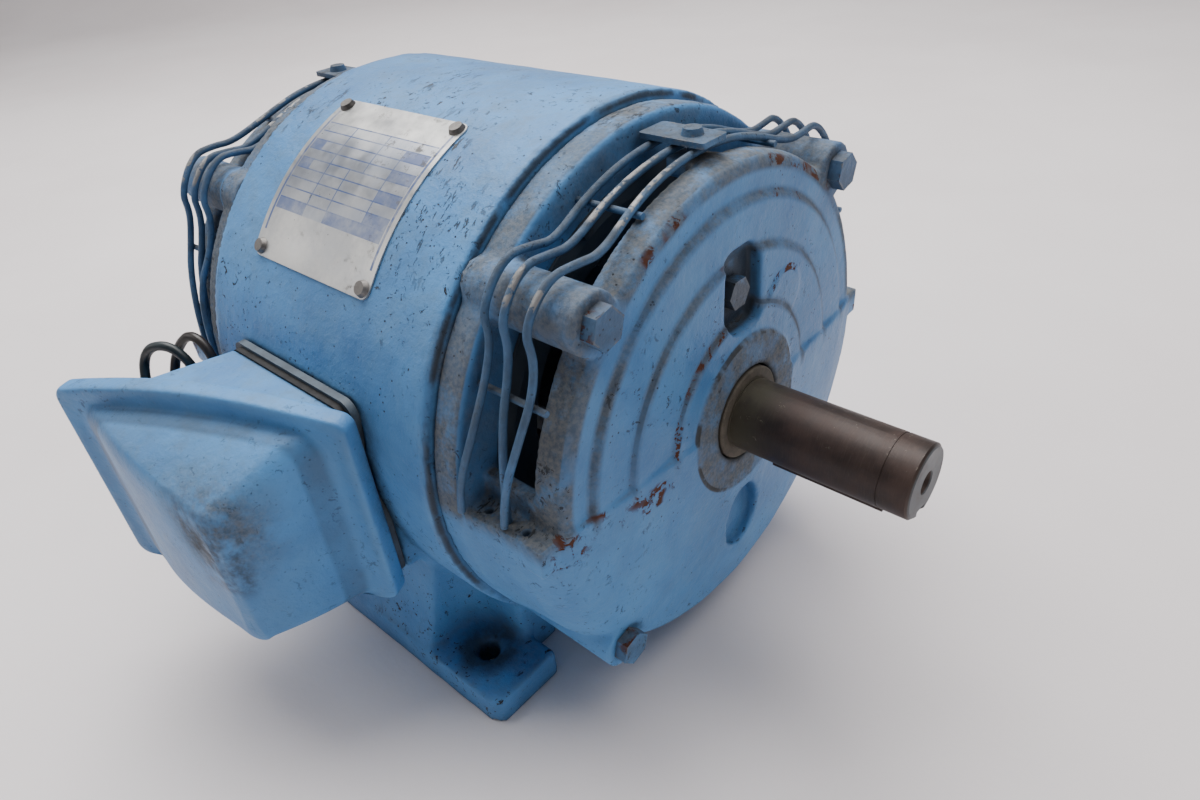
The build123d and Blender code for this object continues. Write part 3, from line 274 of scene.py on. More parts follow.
def enamel(name, pits=1.0, dust=None, rust=None, stain=None, wear=0.35, grime_and_shade_amount=1.0, bare=None):
    """Aged light blue enamel on cast iron: brush waves, pits, dark dirt and painted shade in the corners,
    dust and rusty chips.
    dust, rust and stain are functions of the surface that give a mask of where they lie; the stain masks of
    the bells and the cover also paint shade."""
    s = Surface(name)
    tone = s.noise(0.045, 4, 0.6)
    cloud = s.noise(0.012, 5, 0.65)
    colour = s.mix(s.ramp(tone, 0.35, 0.68), BLUE_DEEP, BLUE_LIGHT)
    colour = s.mix(s.ramp(cloud, 0.30, 0.72, 0.0, 0.35), colour, BLUE_CHALKY)
    # A thin film of dirt that gathers on whatever faces up.
    up = s.ramp(s.facing((0, 0, 1)), 0.1, 1.0)
    film = s.times(up, s.ramp(s.noise(0.006, 6, 0.7), 0.42, 0.75, 0.0, 0.40))
    colour = s.mix(film, colour, BLUE_DIRTY)
    # Small pits and chips in clusters, and fine pinholes.
    cluster = s.ramp(s.noise(0.022, 3, 0.6), 0.42, 0.62)
    chips = s.times(cluster, s.ramp(s.noise(0.0018, 4, 0.75, warp=0.6), 0.605, 0.640))
    holes = s.times(s.ramp(s.noise(0.010, 2), 0.45, 0.62),
                    s.ramp(s.cells(0.0030), 0.16, 0.10))
    # Scratches that run round the casting, most of them where something rested on top.
    worked = s.ramp(s.noise(0.030, 2), 0.50, 0.62)
    scratches = s.times(worked, up,
                        s.ramp(s.noise(0.0018, 4, 0.75, s.stretched((1.0, 0.30, 0.45))), 0.575, 0.60))
    pit = s.times(s.most(chips, holes, scratches), pits)
    # Grime and painted shade in the corners, from an ambient occlusion mask; wear on the edges.
    corner_grime_and_shade = s.times(s.occlusion_shade(0.012), s.ramp(s.noise(0.004, 4, 0.7), 0.30, 0.62, 0.45, 1.0), grime_and_shade_amount)
    edge = s.corner(0.0018)
    worn = s.times(edge, s.ramp(s.noise(0.0045, 5, 0.75), 0.52, 0.60), wear)
    colour = s.mix(s.times(corner_grime_and_shade, 0.62), colour, GRIME_AND_SHADE)
    if dust:
        coat = s.times(dust(s), s.ramp(s.noise(0.0080, 6, 0.75), 0.28, 0.56, 0.35, 1.0))
        fleck = s.ramp(s.noise(0.0009, 3, 0.7), 0.30, 0.66)
        colour = s.mix(s.times(coat, 0.84), colour, s.mix(fleck, (0.070, 0.068, 0.060), DUST))
        rough_dust = coat
    else:
        rough_dust = film
    # Stains darken the enamel; on the bells and the cover these masks also paint shade in the step corners
    # and under the lip.
    if stain:
        colour = s.mix(s.times(stain(s), 0.85), colour, GRIME_AND_SHADE)
    colour = s.mix(pit, colour, PRIMER)
    colour = s.mix(worn, colour, s.mix(s.noise(0.002), PRIMER, BARE_STEEL))
    height = s.math("SUBTRACT", 1.0, s.most(pit, worn))
    if rust:
        chip = s.times(rust(s), s.ramp(s.noise(0.0034, 5, 0.72, warp=0.5), 0.50, 0.53))
        colour = s.mix(chip, colour, s.mix(s.noise(0.0012, 4), (0.040, 0.018, 0.012), RUST))
        height = s.math("SUBTRACT", height, chip)
        rough_dust = s.most(rough_dust, chip)
    if bare:
        scraped = bare(s)
        colour = s.mix(scraped, colour, BARE_STEEL)
        s.finish(Metallic=scraped)
    waves = s.bump(s.noise(0.0065, 3, 0.5), 0.00050)
    peel = s.bump(s.noise(0.0024, 5, 0.68), 0.00055, waves)
    normal = s.bump(height, 0.00025, peel)
    roughness = s.blend(s.most(rough_dust, s.times(corner_grime_and_shade, 0.8)), s.ramp(tone, 0.3, 0.7, 0.40, 0.54), 0.85)
    return s.finish(Base_Color=colour, Roughness=roughness, Normal=normal, Specular_IOR_Level=0.36)


# ---- Masks for the end bells -------------------------------------------------------------------------
def bell_dust(face, side):
    """Dust on the flange's rim, the plate's rim, the pillars, the step risers, the hub and the ledge."""
    def mask(s):
        x, y, z = s.axes()
        radius = s.round_shaft()[0]
        out = s.times(s.math("SUBTRACT", x, face), side)
        upper = s.ramp(z, SHAFT_Z - 0.004, SHAFT_Z + 0.004)
        outwards = s.ramp(s.facing((side, 0, 0)), 0.75, 0.35)
        flange = s.times(s.ramp(radius, 0.1045, 0.1065), s.ramp(out, 0.0135, 0.0115), upper, outwards,
                         s.ramp(s.noise(0.03, 3), 0.30, 0.60, 0.55, 1.0))
        rim = s.times(s.band(radius, 0.0900, 0.0985, 0.001), s.band(out, 0.034, 0.0500, 0.001), upper,
                      outwards)
        pillar = s.times(s.ramp(radius, 0.0900, 0.0925), s.band(out, 0.0135, 0.060, 0.001), upper,
                         s.ramp(s.noise(0.012, 3), 0.32, 0.55, 0.25, 0.9))
        risers = s.most(*[s.band(radius, r, r + 0.0012, 0.0024) for r in STEP_RADII])
        steps = s.times(risers, upper, s.ramp(out, 0.045, 0.047),
                        s.ramp(s.noise(0.025, 2), 0.36, 0.58, 0.30, 0.85))
        hub = s.times(s.ramp(radius, 0.0345, 0.0325), s.ramp(out, 0.048, 0.052),
                      s.ramp(s.noise(0.006, 4), 0.30, 0.55, 0.65, 1.0))
        ledge = s.times(s.ramp(s.facing((0, 0, 1)), 0.5, 0.9), s.ramp(out, 0.006, 0.009),
                        s.band(z, SHAFT_Z - 0.002, SHAFT_Z + 0.018, 0.002))
        return s.most(flange, rim, pillar, steps, hub, ledge)
    return mask


def bell_rust(face, side):
    """Chips down to red oxide along the plate's rim, on the step risers and by the ledge."""
    def mask(s):
        x, y, z = s.axes()
        radius, angle = s.round_shaft()
        out = s.times(s.math("SUBTRACT", x, face), side)
        front = s.ramp(out, 0.040, 0.044)
        patches = s.ramp(s.noise(0.013, 3, 0.6), 0.47, 0.56)
        rim = s.times(s.band(radius, 0.0925, 0.0965, 0.0006), s.band(angle, 48, 124, 6),
                      s.ramp(out, 0.0465, 0.0480))
        risers = s.most(*[s.times(s.band(radius, r - 0.0006, r + 0.0016, 0.0006), s.band(angle, a, b, 6))
                          for r, (a, b) in zip(STEP_RADII, ((62, 98), (100, 178), (60, 178)))])
        ledge = s.times(s.band(z, SHAFT_Z - 0.009, SHAFT_Z + 0.0045, 0.001), s.ramp(y, -0.03, -0.04),
                        s.ramp(s.noise(0.021, 2), 0.49, 0.53))
        boss_y, boss_z = s.math("SUBTRACT", y, 0.028), s.math("SUBTRACT", z, SHAFT_Z + 0.038)
        boss = s.times(s.band(s.distance(boss_y, boss_z), 0.0100, 0.0120, 0.0006),
                       s.ramp(boss_z, 0.003, 0.007))
        lugs = s.times(s.ramp(s.math("ABSOLUTE", y), 0.1000, 0.1030),
                       s.band(z, SHAFT_Z - 0.012, SHAFT_Z, 0.002))
        return s.times(s.most(s.times(s.most(rim, risers, ledge, lugs), patches), boss), front)
    return mask


def frame_rust(s):
    """Chips at the corners of the feet."""
    x, y, z = s.axes()
    return s.times(s.ramp(z, 0.030, 0.016), s.corner(0.004), s.ramp(s.noise(0.012, 3), 0.50, 0.60))


def bell_dirt_and_shade(face, side):
    """Oily dirt in the pocket over the hub and round the shaft, and painted shade as dark lines in the
    corner of each step.
    """
    def mask(s):
        x, y, z = s.axes()
        radius = s.round_shaft()[0]
        out = s.times(s.math("SUBTRACT", x, face), side)
        pocket = s.times(s.band(y, -0.0105, 0.0115, 0.0010),
                         s.band(z, SHAFT_Z + 0.034, SHAFT_Z + 0.062, 0.004),
                         s.ramp(out, 0.0525, 0.0500), s.ramp(out, 0.040, 0.042))
        # Painted shade: dark lines in the corner of each step, on the upper half.
        corners = s.most(*[s.band(radius, r + 0.0002, r + 0.0012, 0.0006) for r in STEP_RADII])
        lines = s.times(corners, s.ramp(z, SHAFT_Z, SHAFT_Z + 0.006), s.ramp(out, 0.045, 0.047),
                        s.ramp(s.noise(0.022, 2), 0.42, 0.60, 0.08, 0.60))
        collar = s.times(s.ramp(radius, 0.0225, 0.0195), s.ramp(out, 0.050, 0.052), 0.8)
        rim = s.times(s.band(radius, 0.0322, 0.0335, 0.0005), s.ramp(out, 0.052, 0.054),
                      s.ramp(s.noise(0.008, 4), 0.45, 0.55))
        return s.most(s.times(pocket, s.ramp(s.noise(0.006, 4), 0.25, 0.50, 0.5, 1.0)), lines, collar, rim)
    return mask


def frame_stain(s):
    """Dirt in the seam round the barrel's ends and in a ring round each foot hole."""
    x, y, z = s.axes()
    radius = s.round_shaft()[0]
    ring = s.times(s.ramp(s.away_from(FOOT_HOLE, mirrored=True), 0.0175, 0.0095),
                   s.ramp(s.noise(0.006, 4), 0.30, 0.55, 0.5, 0.95))
    ends = s.most(s.ramp(x, FRAME_FRONT - 0.0012, FRAME_FRONT - 0.0002),
                  s.ramp(x, FRAME_BACK + 0.0012, FRAME_BACK + 0.0002))
    seam = s.times(ends, s.ramp(radius, 0.1085, 0.1100), s.ramp(z, 0.045, 0.060),
                   s.ramp(s.noise(0.010, 4), 0.30, 0.50))
    return s.most(ring, seam)


def frame_dust(s):
    """Grey dirt on the feet and on the rim of the barrel."""
    x, y, z = s.axes()
    low = s.ramp(z, 0.050, 0.018)
    rim = s.times(s.band(x, FRAME_FRONT - 0.0025, FRAME_FRONT + 0.001, 0.001), 0.6,
                  s.ramp(s.noise(0.02, 3), 0.50, 0.65))
    return s.most(s.times(low, s.ramp(s.facing((0, 0, 1)), 0.2, 0.9),
                          s.ramp(s.noise(0.014, 4), 0.42, 0.62), 0.55), rim)


def out_from_split(s):
    """Distance outwards from the conduit box's diagonal split."""
    dot = s.node("ShaderNodeVectorMath", {0: s.coords}, operation="DOT_PRODUCT")
    dot.inputs[1].default_value = OUTWARD
    return s.math("SUBTRACT", dot.outputs["Value"], OUTWARD.dot(LIP_FAR))


def cover_dust(s):
    """The brown smear round the top of the cover's ridge, and thin grey dust on its sloping top."""
    near = s.times(s.ramp(s.away_from(RIDGE_TOP - Vector((0.002, 0, 0.006))), 0.032, 0.008),
                   s.ramp(s.noise(0.010, 4, 0.65), 0.34, 0.58))
    slope = s.times(s.ramp(s.facing((0, 0, 1)), 0.55, 0.85), s.ramp(out_from_split(s), 0.008, 0.026), 0.40)
    return s.most(near, slope)


def cover_grime_and_shade(s):
    """Grime along the ridge, darkest near its top, and painted shade in the hollow under the lip."""
    x, y, z = s.axes()
    outward = out_from_split(s)
    ridge = s.times(s.ramp(outward, 0.0275, 0.0335), s.band(z, 0.092, 0.113, 0.010),
                    s.ramp(s.noise(0.007, 4, 0.7), 0.40, 0.62))
    # Painted shade in the groove under the lip.
    groove_shade = s.times(s.band(outward, 0.0046, 0.0090, 0.0022),
                     s.ramp(s.noise(0.012, 3), 0.30, 0.60, 0.30, 0.60))
    return s.most(s.times(ridge, 0.9), groove_shade)


def wire_scrapes(s):
    """Bare shiny metal on the wires where they stand out over the windows and the pillars."""
    x, y, z = s.axes()
    radius, angle = s.round_shaft()
    out = s.most(s.math("SUBTRACT", x, FRAME_FRONT), s.math("SUBTRACT", FRAME_BACK, x))
    top = s.times(s.band(angle, 99, 117, 2), s.ramp(radius, 0.1014, 0.1019))
    bend = s.times(s.band(angle, 129, 137, 1.5), s.ramp(radius, 0.1158, 0.1163))
    return s.times(s.most(top, bend), s.ramp(out, 0.0235, 0.0250),
                   s.ramp(s.noise(0.0045, 4, 0.7), 0.47, 0.52))


def handled(s):
    """Patchy dirt all over a piece that hands and tools touch."""
    return s.ramp(s.noise(0.009, 4, 0.7), 0.25, 0.65, 0.30, 0.70)


def bolt_rust(s):
    """Patches of rust on the bolt heads."""
    return s.times(s.ramp(s.facing((0, 0, 1)), -0.1, 0.5), s.ramp(s.noise(0.007, 3), 0.50, 0.58))


def all_over_dust(s):
    """Dust on whatever faces up."""
    return s.ramp(s.facing((0, 0, 1)), 0.1, 0.8, 0.15, 0.8)


# ---- Other materials ---------------------------------------------------------------------------------
def worn_steel(name, colour, roughness, metallic=0.9, grain=0.0006, spots=0.5, stretch=None):
    """Oxidised steel with a fine grain and some bright scuffs."""
    s = Surface(name, metallic=metallic)
    fine = s.noise(grain, 4, 0.7, s.stretched(stretch) if stretch else None)
    blot = s.noise(0.008, 5, 0.65)
    dark = tuple(0.45 * c for c in colour)
    tone = s.mix(s.ramp(blot, 0.30, 0.70), dark, colour)
    tone = s.mix(s.ramp(fine, 0.35, 0.75, 0.0, 0.30), tone, tuple(1.7 * c for c in colour))
    scuff = s.times(s.ramp(s.noise(0.0016, 4, 0.8), 0.66, 0.72),
                    s.ramp(s.noise(0.02, 3), 0.48, 0.62), spots)
    tone = s.mix(scuff, tone, (0.50, 0.47, 0.42))
    rough = s.blend(s.ramp(blot, 0.3, 0.7), roughness - 0.10, roughness + 0.12)
    normal = s.bump(fine, 0.00004)
    return s.finish(Base_Color=tone, Roughness=rough, Normal=normal)


def plain(name, colour, roughness, metallic=0.0, size=0.003, depth=0.00004, contrast=0.25):
    """A moulded or plated surface with a little variation in tone and grain, and painted shade in its
    crevices.
    """
    s = Surface(name, metallic=metallic)
    cloud = s.noise(size, 4, 0.6)
    tone = s.mix(s.ramp(cloud, 0.3, 0.7), tuple((1 - contrast) * c for c in colour), colour)
    # Painted shade: darker in crevices, from an ambient occlusion mask.
    tone = s.mix(s.times(s.occlusion_shade(0.004), 0.5), tone, tuple(0.25 * c for c in colour))
    rough = s.ramp(cloud, 0.3, 0.7, max(0.05, roughness - 0.08), roughness + 0.08)
    return s.finish(Base_Color=tone, Roughness=rough, Normal=s.bump(s.noise(size / 6, 3), depth))


def shaft_finish(name):
    """Brown oxide with fine turning lines, pale scuffs, greenish dust by the hub and a greyer end face."""
    s = Surface(name)
    x, y, z = s.axes()
    lines = s.noise(0.0011, 3, 0.7, s.stretched((6.0, 0.5, 0.5)))
    blot = s.noise(0.010, 5, 0.65)
    tone = s.mix(s.ramp(blot, 0.30, 0.70), (0.021, 0.014, 0.012), (0.060, 0.036, 0.029))
    tone = s.mix(s.ramp(lines, 0.45, 0.75, 0.0, 0.35), tone, (0.085, 0.060, 0.050))
    scuff = s.times(s.ramp(s.noise(0.0016, 4, 0.8), 0.64, 0.70), s.ramp(s.noise(0.018, 3), 0.50, 0.62))
    tone = s.mix(scuff, tone, (0.30, 0.27, 0.22))
    base = s.times(s.ramp(x, SHOULDER_X + 0.022, SHOULDER_X),
                   s.ramp(s.noise(0.006, 4), 0.30, 0.60, 0.35, 1.0))
    tone = s.mix(base, tone, (0.082, 0.075, 0.052))
    end = s.ramp(x, SHAFT_TIP - 0.0007, SHAFT_TIP - 0.0002)
    tone = s.mix(s.times(end, s.ramp(s.noise(0.004, 4), 0.30, 0.60, 0.4, 1.0)), tone, (0.105, 0.115, 0.125))
    rough = s.blend(s.most(base, scuff), s.ramp(blot, 0.3, 0.7, 0.42, 0.58), 0.8)
    return s.finish(Base_Color=tone, Metallic=0.35, Roughness=rough, Normal=s.bump(lines, 0.00004))


def printed_plate(name):
    """Etched aluminium with a printed form: blank fields between blue rules, no lettering."""
    s = Surface(name)
    x, y, z = s.axes()
    angle = s.round_shaft()[1]
    across = s.math("SUBTRACT", x, (PLATE_LOW[0] + PLATE_HIGH[0]) / 2)
    down = s.times(s.math("SUBTRACT", angle, PLATE_ANGLE), math.pi / 180 * BARREL_R)
    blue = (0.055, 0.100, 0.260)
    rule = 0.00022      # half the width of a printed rule
    rows = [s.band(down, v - rule, v + rule, 0.00010) for v in
            (-0.0235, -0.0190, -0.0145, -0.0100, -0.0055, -0.0010, 0.0035, 0.0080, 0.0125)]
    inside = s.times(s.band(across, -0.0335, 0.0335, 0.0002), s.band(down, -0.0237, 0.0172, 0.0002))
    columns = [s.times(s.band(across, u - rule, u + rule, 0.00010), s.band(down, low, high, 0.0001))
               for u, low, high in ((-0.0150, -0.0235, 0.0125), (0.0060, -0.0235, -0.0055),
                                    (0.0200, -0.0190, 0.0125), (-0.0020, -0.0055, 0.0125))]
    # Solid blue label cells beside the blank ones, and the blue side borders.
    cells = [s.times(s.band(across, left, right, 0.0001), s.band(down, low, high, 0.0001))
             for left, right, low, high in (
                 (0.0200, 0.0335, -0.0190, -0.0145), (0.0200, 0.0335, -0.0100, -0.0055),
                 (0.0200, 0.0335, -0.0010, 0.0035), (0.0200, 0.0335, 0.0080, 0.0125),
                 (-0.0335, -0.0150, 0.0125, 0.0172), (-0.0020, 0.0335, 0.0125, 0.0172),
                 (-0.0335, -0.0260, -0.0145, -0.0100), (-0.0335, -0.0260, -0.0055, -0.0010))]
    border = s.times(s.band(s.math("ABSOLUTE", across), 0.0341, 0.0352, 0.0001),
                     s.band(down, -0.0300, 0.0265, 0.0002))
    form = s.times(s.most(*rows, *columns), inside)
    faded = s.ramp(s.noise(0.006, 4, 0.7), 0.30, 0.60, 0.35, 1.0)
    ink = s.times(s.most(form, *[s.times(c, 0.8) for c in cells], border), faded)
    metal = s.mix(s.ramp(s.noise(0.010, 5, 0.65), 0.3, 0.7), (0.36, 0.37, 0.38), (0.62, 0.62, 0.60))
    field = s.times(inside, s.ramp(s.noise(0.008, 3), 0.3, 0.7, 0.25, 0.55))
    colour = s.mix(field, metal, (0.22, 0.27, 0.38))
    colour = s.mix(ink, colour, blue)
    stain = s.times(s.ramp(s.noise(0.0035, 5, 0.75), 0.56, 0.66), s.ramp(s.noise(0.016, 3), 0.45, 0.60))
    colour = s.mix(s.times(stain, 0.7), colour, (0.10, 0.09, 0.07))
    chips = s.ramp(s.noise(0.0013, 3, 0.7), 0.70, 0.73)
    colour = s.mix(chips, colour, PRIMER)
    metallic = s.blend(s.most(ink, stain, chips), 0.75, 0.1)
    rough = s.blend(stain, s.ramp(s.noise(0.005, 4), 0.3, 0.7, 0.28, 0.42), 0.75)
    brushed = s.noise(0.0005, 3, 0.6, s.stretched((0.06, 1, 1)))
    return s.finish(Base_Color=colour, Metallic=metallic, Roughness=rough, Normal=s.bump(brushed, 0.00002))


def floor_material():
    """Pale, slightly mottled paper."""
    s = Surface("floor_paper")
    cloud = s.noise(0.25, 4, 0.6)
    tone = s.mix(s.ramp(cloud, 0.35, 0.65), (0.80, 0.750, 0.755), (0.86, 0.815, 0.820))
    return s.finish(Base_Color=tone, Roughness=0.75, Normal=s.bump(s.noise(0.004, 4), 0.0002))


# ---- The scene ---------------------------------------------------------------------------------------
add_camera()
add_floor(floor_material())
add_light("key_softbox", (-0.55, 0.30, 1.55), (0, 0, 0.1), 1.3, 44, (1.0, 0.985, 0.97))
add_light("left_softbox", (-1.25, -1.05, 0.95), (0, 0, 0.1), 1.0, 6, (1.0, 0.97, 0.96))
add_light("floor_softbox", (0.75, 0.55, 1.7), (0.5, 0.1, 0.0), 1.2, 15, (1.0, 0.975, 0.97))
world = bpy.data.worlds.new("studio")
world.use_nodes = True
world.node_tree.nodes["Background"].inputs["Color"].default_value = (0.95, 0.96, 1.0, 1)
world.node_tree.nodes["Background"].inputs["Strength"].default_value = 0.22
bpy.context.scene.world = world


# ---- Castings: the CAD solid with the soft edges of cast iron ----------------------------------------
def cast_skin(node, voxel, rounds, kept=None):
    """Rounds a casting's edges and gives its faces a slight waviness. The CAD mesh itself isn't changed.
    kept is the share of the faces that a fine skin keeps."""
    piece = nodes[node]
    remesh = piece.modifiers.new("skin", "REMESH")
    remesh.mode, remesh.voxel_size, remesh.use_smooth_shade = "VOXEL", voxel, True
    smooth = piece.modifiers.new("soften", "SMOOTH")
    smooth.factor, smooth.iterations = 0.5, rounds
    waves = bpy.data.textures.new(node + "_waves", "CLOUDS")
    waves.noise_scale, waves.noise_depth = 0.018, 2
    displace = piece.modifiers.new("waviness", "DISPLACE")
    displace.texture, displace.strength, displace.mid_level = waves, 0.0006, 0.5
    displace.texture_coords = "LOCAL"
    if kept:
        piece.modifiers.new("thin_out", "DECIMATE").ratio = kept


cast_skin("stator_frame", 0.0018, 3)
cast_skin("drive_end_bell", 0.0011, 2, kept=0.70)
cast_skin("rear_end_bell", 0.0014, 2)


# ---- Materials on the CAD nodes ----------------------------------------------------------------------
def paint(material, *names):
    """Gives CAD nodes their material."""
    for name in names:
        piece = nodes[name]
        piece.data.materials.clear()
        piece.data.materials.append(material)


enamel_frame = enamel("enamel_frame", pits=1.0, dust=frame_dust, rust=frame_rust, stain=frame_stain)
enamel_drive_bell = enamel("enamel_drive_bell", pits=0.8, dust=bell_dust(FRAME_FRONT, 1),
                           rust=bell_rust(FRAME_FRONT, 1), stain=bell_dirt_and_shade(FRAME_FRONT, 1))
enamel_rear_bell = enamel("enamel_rear_bell", pits=0.8, dust=bell_dust(FRAME_BACK, -1),
                          rust=bell_rust(FRAME_BACK, -1), stain=bell_dirt_and_shade(FRAME_BACK, -1))
enamel_box = enamel("enamel_box", pits=0.45, dust=cover_dust, stain=cover_grime_and_shade, wear=0.25)
enamel_bolt = enamel("enamel_bolt", pits=0.8, dust=all_over_dust, rust=bolt_rust, stain=handled, wear=1.0)
enamel_plug = enamel("enamel_plug", pits=1.0,
                     stain=lambda s: s.ramp(s.noise(0.003, 4), 0.25, 0.50, 0.5, 1.0))
enamel_clip = enamel("enamel_clip", pits=0.8, dust=all_over_dust, stain=handled, wear=1.0)
enamel_wire = enamel("enamel_wire", pits=0.6, dust=all_over_dust, stain=handled, wear=0.0, grime_and_shade_amount=0.5,
                     bare=wire_scrapes)
dark_rubber = plain("dark_rubber", (0.012, 0.012, 0.013), 0.75)
screw_steel = worn_steel("screw_steel", (0.20, 0.19, 0.18), 0.45, spots=0.3)
bearing_steel = plain("bearing_steel", (0.62, 0.62, 0.63), 0.18, metallic=1.0, contrast=0.1)

paint(enamel_frame, "stator_frame")
paint(enamel_drive_bell, "drive_end_bell")
paint(enamel_rear_bell, "rear_end_bell")
paint(enamel_box, "conduit_box_base", "conduit_box_cover")
paint(enamel_bolt, "drive_bell_bolts", "rear_bell_bolts", "cover_screws")
paint(enamel_plug, "grease_plugs")
paint(enamel_clip, "guard_clip_screws", "guard_clips")
paint(enamel_wire, "drive_wire_guard", "rear_wire_guard")
paint(shaft_finish("shaft_steel"), "shaft")
paint(worn_steel("key_steel", (0.070, 0.055, 0.050), 0.50, 0.8), "shaft_key")
paint(plain("slinger_rubber", (0.115, 0.098, 0.075), 0.8, size=0.002, contrast=0.5), "shaft_slinger")
paint(worn_steel("lamination", (0.16, 0.16, 0.17), 0.50, spots=0.1, stretch=(14, 1, 1)),
      "stator_core", "rotor_core")
paint(plain("varnished_copper", (0.150, 0.045, 0.018), 0.35, 0.3), "stator_winding")
paint(plain("wedge_fibre", (0.30, 0.25, 0.15), 0.7), "slot_wedges")
paint(plain("cast_aluminium", (0.45, 0.46, 0.47), 0.5, 1.0, contrast=0.15), "rotor_cage")
paint(bearing_steel, "drive_bearing_outer", "drive_bearing_inner", "drive_bearing_balls",
      "rear_bearing_outer", "rear_bearing_inner", "rear_bearing_balls")
paint(plain("pressed_steel", (0.40, 0.40, 0.40), 0.35, 1.0), "drive_bearing_cage", "rear_bearing_cage",
      "bearing_preload_washer", "bearing_snap_ring")
paint(plain("baffle_enamel", (0.060, 0.075, 0.090), 0.60, size=0.008),
      "drive_air_baffle", "rear_air_baffle")
paint(screw_steel, "baffle_screws", "nameplate_screws", "box_mounting_screws", "ground_screw")
paint(printed_plate("printed_plate"), "nameplate")
paint(dark_rubber, "box_frame_gasket", "box_base_gasket", "lead_bushing")
paint(plain("spacer_enamel", (0.090, 0.125, 0.160), 0.55, size=0.004, contrast=0.5), "box_spacer_plate")


# ---- Smooth wires ------------------------------------------------------------------------------------
def smooth_curve(name, routes, radius, material):
    """Round wires on smooth lines, one spline for each route of points in metres."""
    curve = bpy.data.curves.new(name, "CURVE")
    curve.dimensions, curve.bevel_depth, curve.bevel_resolution = "3D", radius, 3
    curve.resolution_u, curve.use_fill_caps = 8, True
    for route in routes:
        spline = curve.splines.new("NURBS")
        spline.points.add(len(route) - 1)
        for point, place in zip(spline.points, route):
            point.co = (*place, 1)
        spline.order_u, spline.use_endpoint_u = 3, True
    piece = bpy.data.objects.new(name, curve)
    curve.materials.append(material)
    bpy.context.collection.objects.link(piece)
    return piece


# ---- Wire guards: bent by hand over the pillars, so no two wires run quite alike ---------------------
# Each wire is a list of (angle round the shaft, distance from it, place out from the frame), in mm, from
# the ledge on the conduit box's side, over the top and down to the ledge on the far side.
GUARD_WIRES = (
    [(177, 108.4, 13.2), (171, 109.4, 14.4), (160, 108.6, 19.6), (150, 105.8, 18.4), (143.2, 108.6, 18.2),
     (139.6, 115.8, 17.6), (131, 116.8, 18.2), (126.8, 109, 19.4), (123.6, 102.8, 19.8), (113, 101, 18),
     (102, 101.6, 19), (90, 101.2, 19), (76, 101.4, 18.8), (58, 102, 18.6), (53, 109, 18.7),
     (49.6, 116, 18.7), (40.6, 116.2, 18.9), (37, 108.6, 18.8), (30, 106, 18.6), (16, 105.4, 18.9),
     (2, 101.2, 18.7)],
    [(178, 101.4, 28.2), (168, 102.6, 28.6), (156, 104.6, 27.8), (150, 105.4, 27.4), (143.6, 108.6, 26.8),
     (139.8, 115.6, 26), (131.6, 116.6, 26.2), (127.2, 108.6, 27.2), (123.8, 102.8, 27.2), (112, 101, 26.4),
     (102, 101.2, 27.8), (90, 101.0, 28), (76, 101.2, 27.6), (58, 102.2, 27.5), (53, 109.2, 27.6),
     (49.4, 116.2, 27.8), (40.2, 116.4, 27.6), (36.6, 108.4, 27.7), (30, 105.8, 27.9), (16, 105.2, 27.6),
     (2, 101.2, 27.7)],
    [(177, 105.0, 30.6), (170, 105.4, 31.4), (158, 105.0, 36.4), (150, 105.2, 38.2), (144, 108.2, 37.6),
     (140.2, 115.2, 35.8), (132, 116.4, 37.4), (127.4, 109.6, 39.4), (123.6, 103.4, 39.8), (112, 101, 37),
     (102, 101.2, 36.8), (90, 101.0, 36.8), (76, 101, 36.6), (58, 102.0, 36.9), (52.6, 109, 36.8),
     (49.0, 116.0, 36.6), (40.4, 116.2, 36.8), (36.8, 108.2, 36.5), (30, 105.8, 36.9), (16, 105.4, 36.5),
     (2, 101.2, 36.7)])
# Each cross wire is (angle, distance from the shaft, place where it starts and where it ends), in mm.
CROSS_WIRES = ((152, 102.8, 13.4, 43.4), (112.6, 98.6, 9.6, 40.6), (67, 98.6, 14.2, 41),
               (27, 102.8, 13.6, 43))


def guard_point(face, side, angle, radius, out):
    """The point at an angle round the shaft, a distance from it and a place out from a face, in mm."""
    a = math.radians(angle)
    return (face + side * out / 1000, radius / 1000 * math.cos(a), SHAFT_Z + radius / 1000 * math.sin(a))


def add_guard(name, node, face, side, material):
    """The three long wires and four short cross wires over one bell's windows."""
    long_wires = [[guard_point(face, side, *point) for point in wire] for wire in GUARD_WIRES]
    cross_wires = [[guard_point(face, side, angle, radius, near + (far - near) * k / 2) for k in range(3)]
                   for angle, radius, near, far in CROSS_WIRES]
    for part, routes, radius in (("long", long_wires, WIRE_R), ("cross", cross_wires, CROSS_WIRE_R)):
        piece = smooth_curve(name + "_" + part, routes, radius, material)
        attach(piece, "frame")
        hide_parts(node)


add_guard("drive_guard_wires", "drive_wire_guard", FRAME_FRONT, 1, enamel_wire)
add_guard("rear_guard_wires", "rear_wire_guard", FRAME_BACK, -1, enamel_wire)


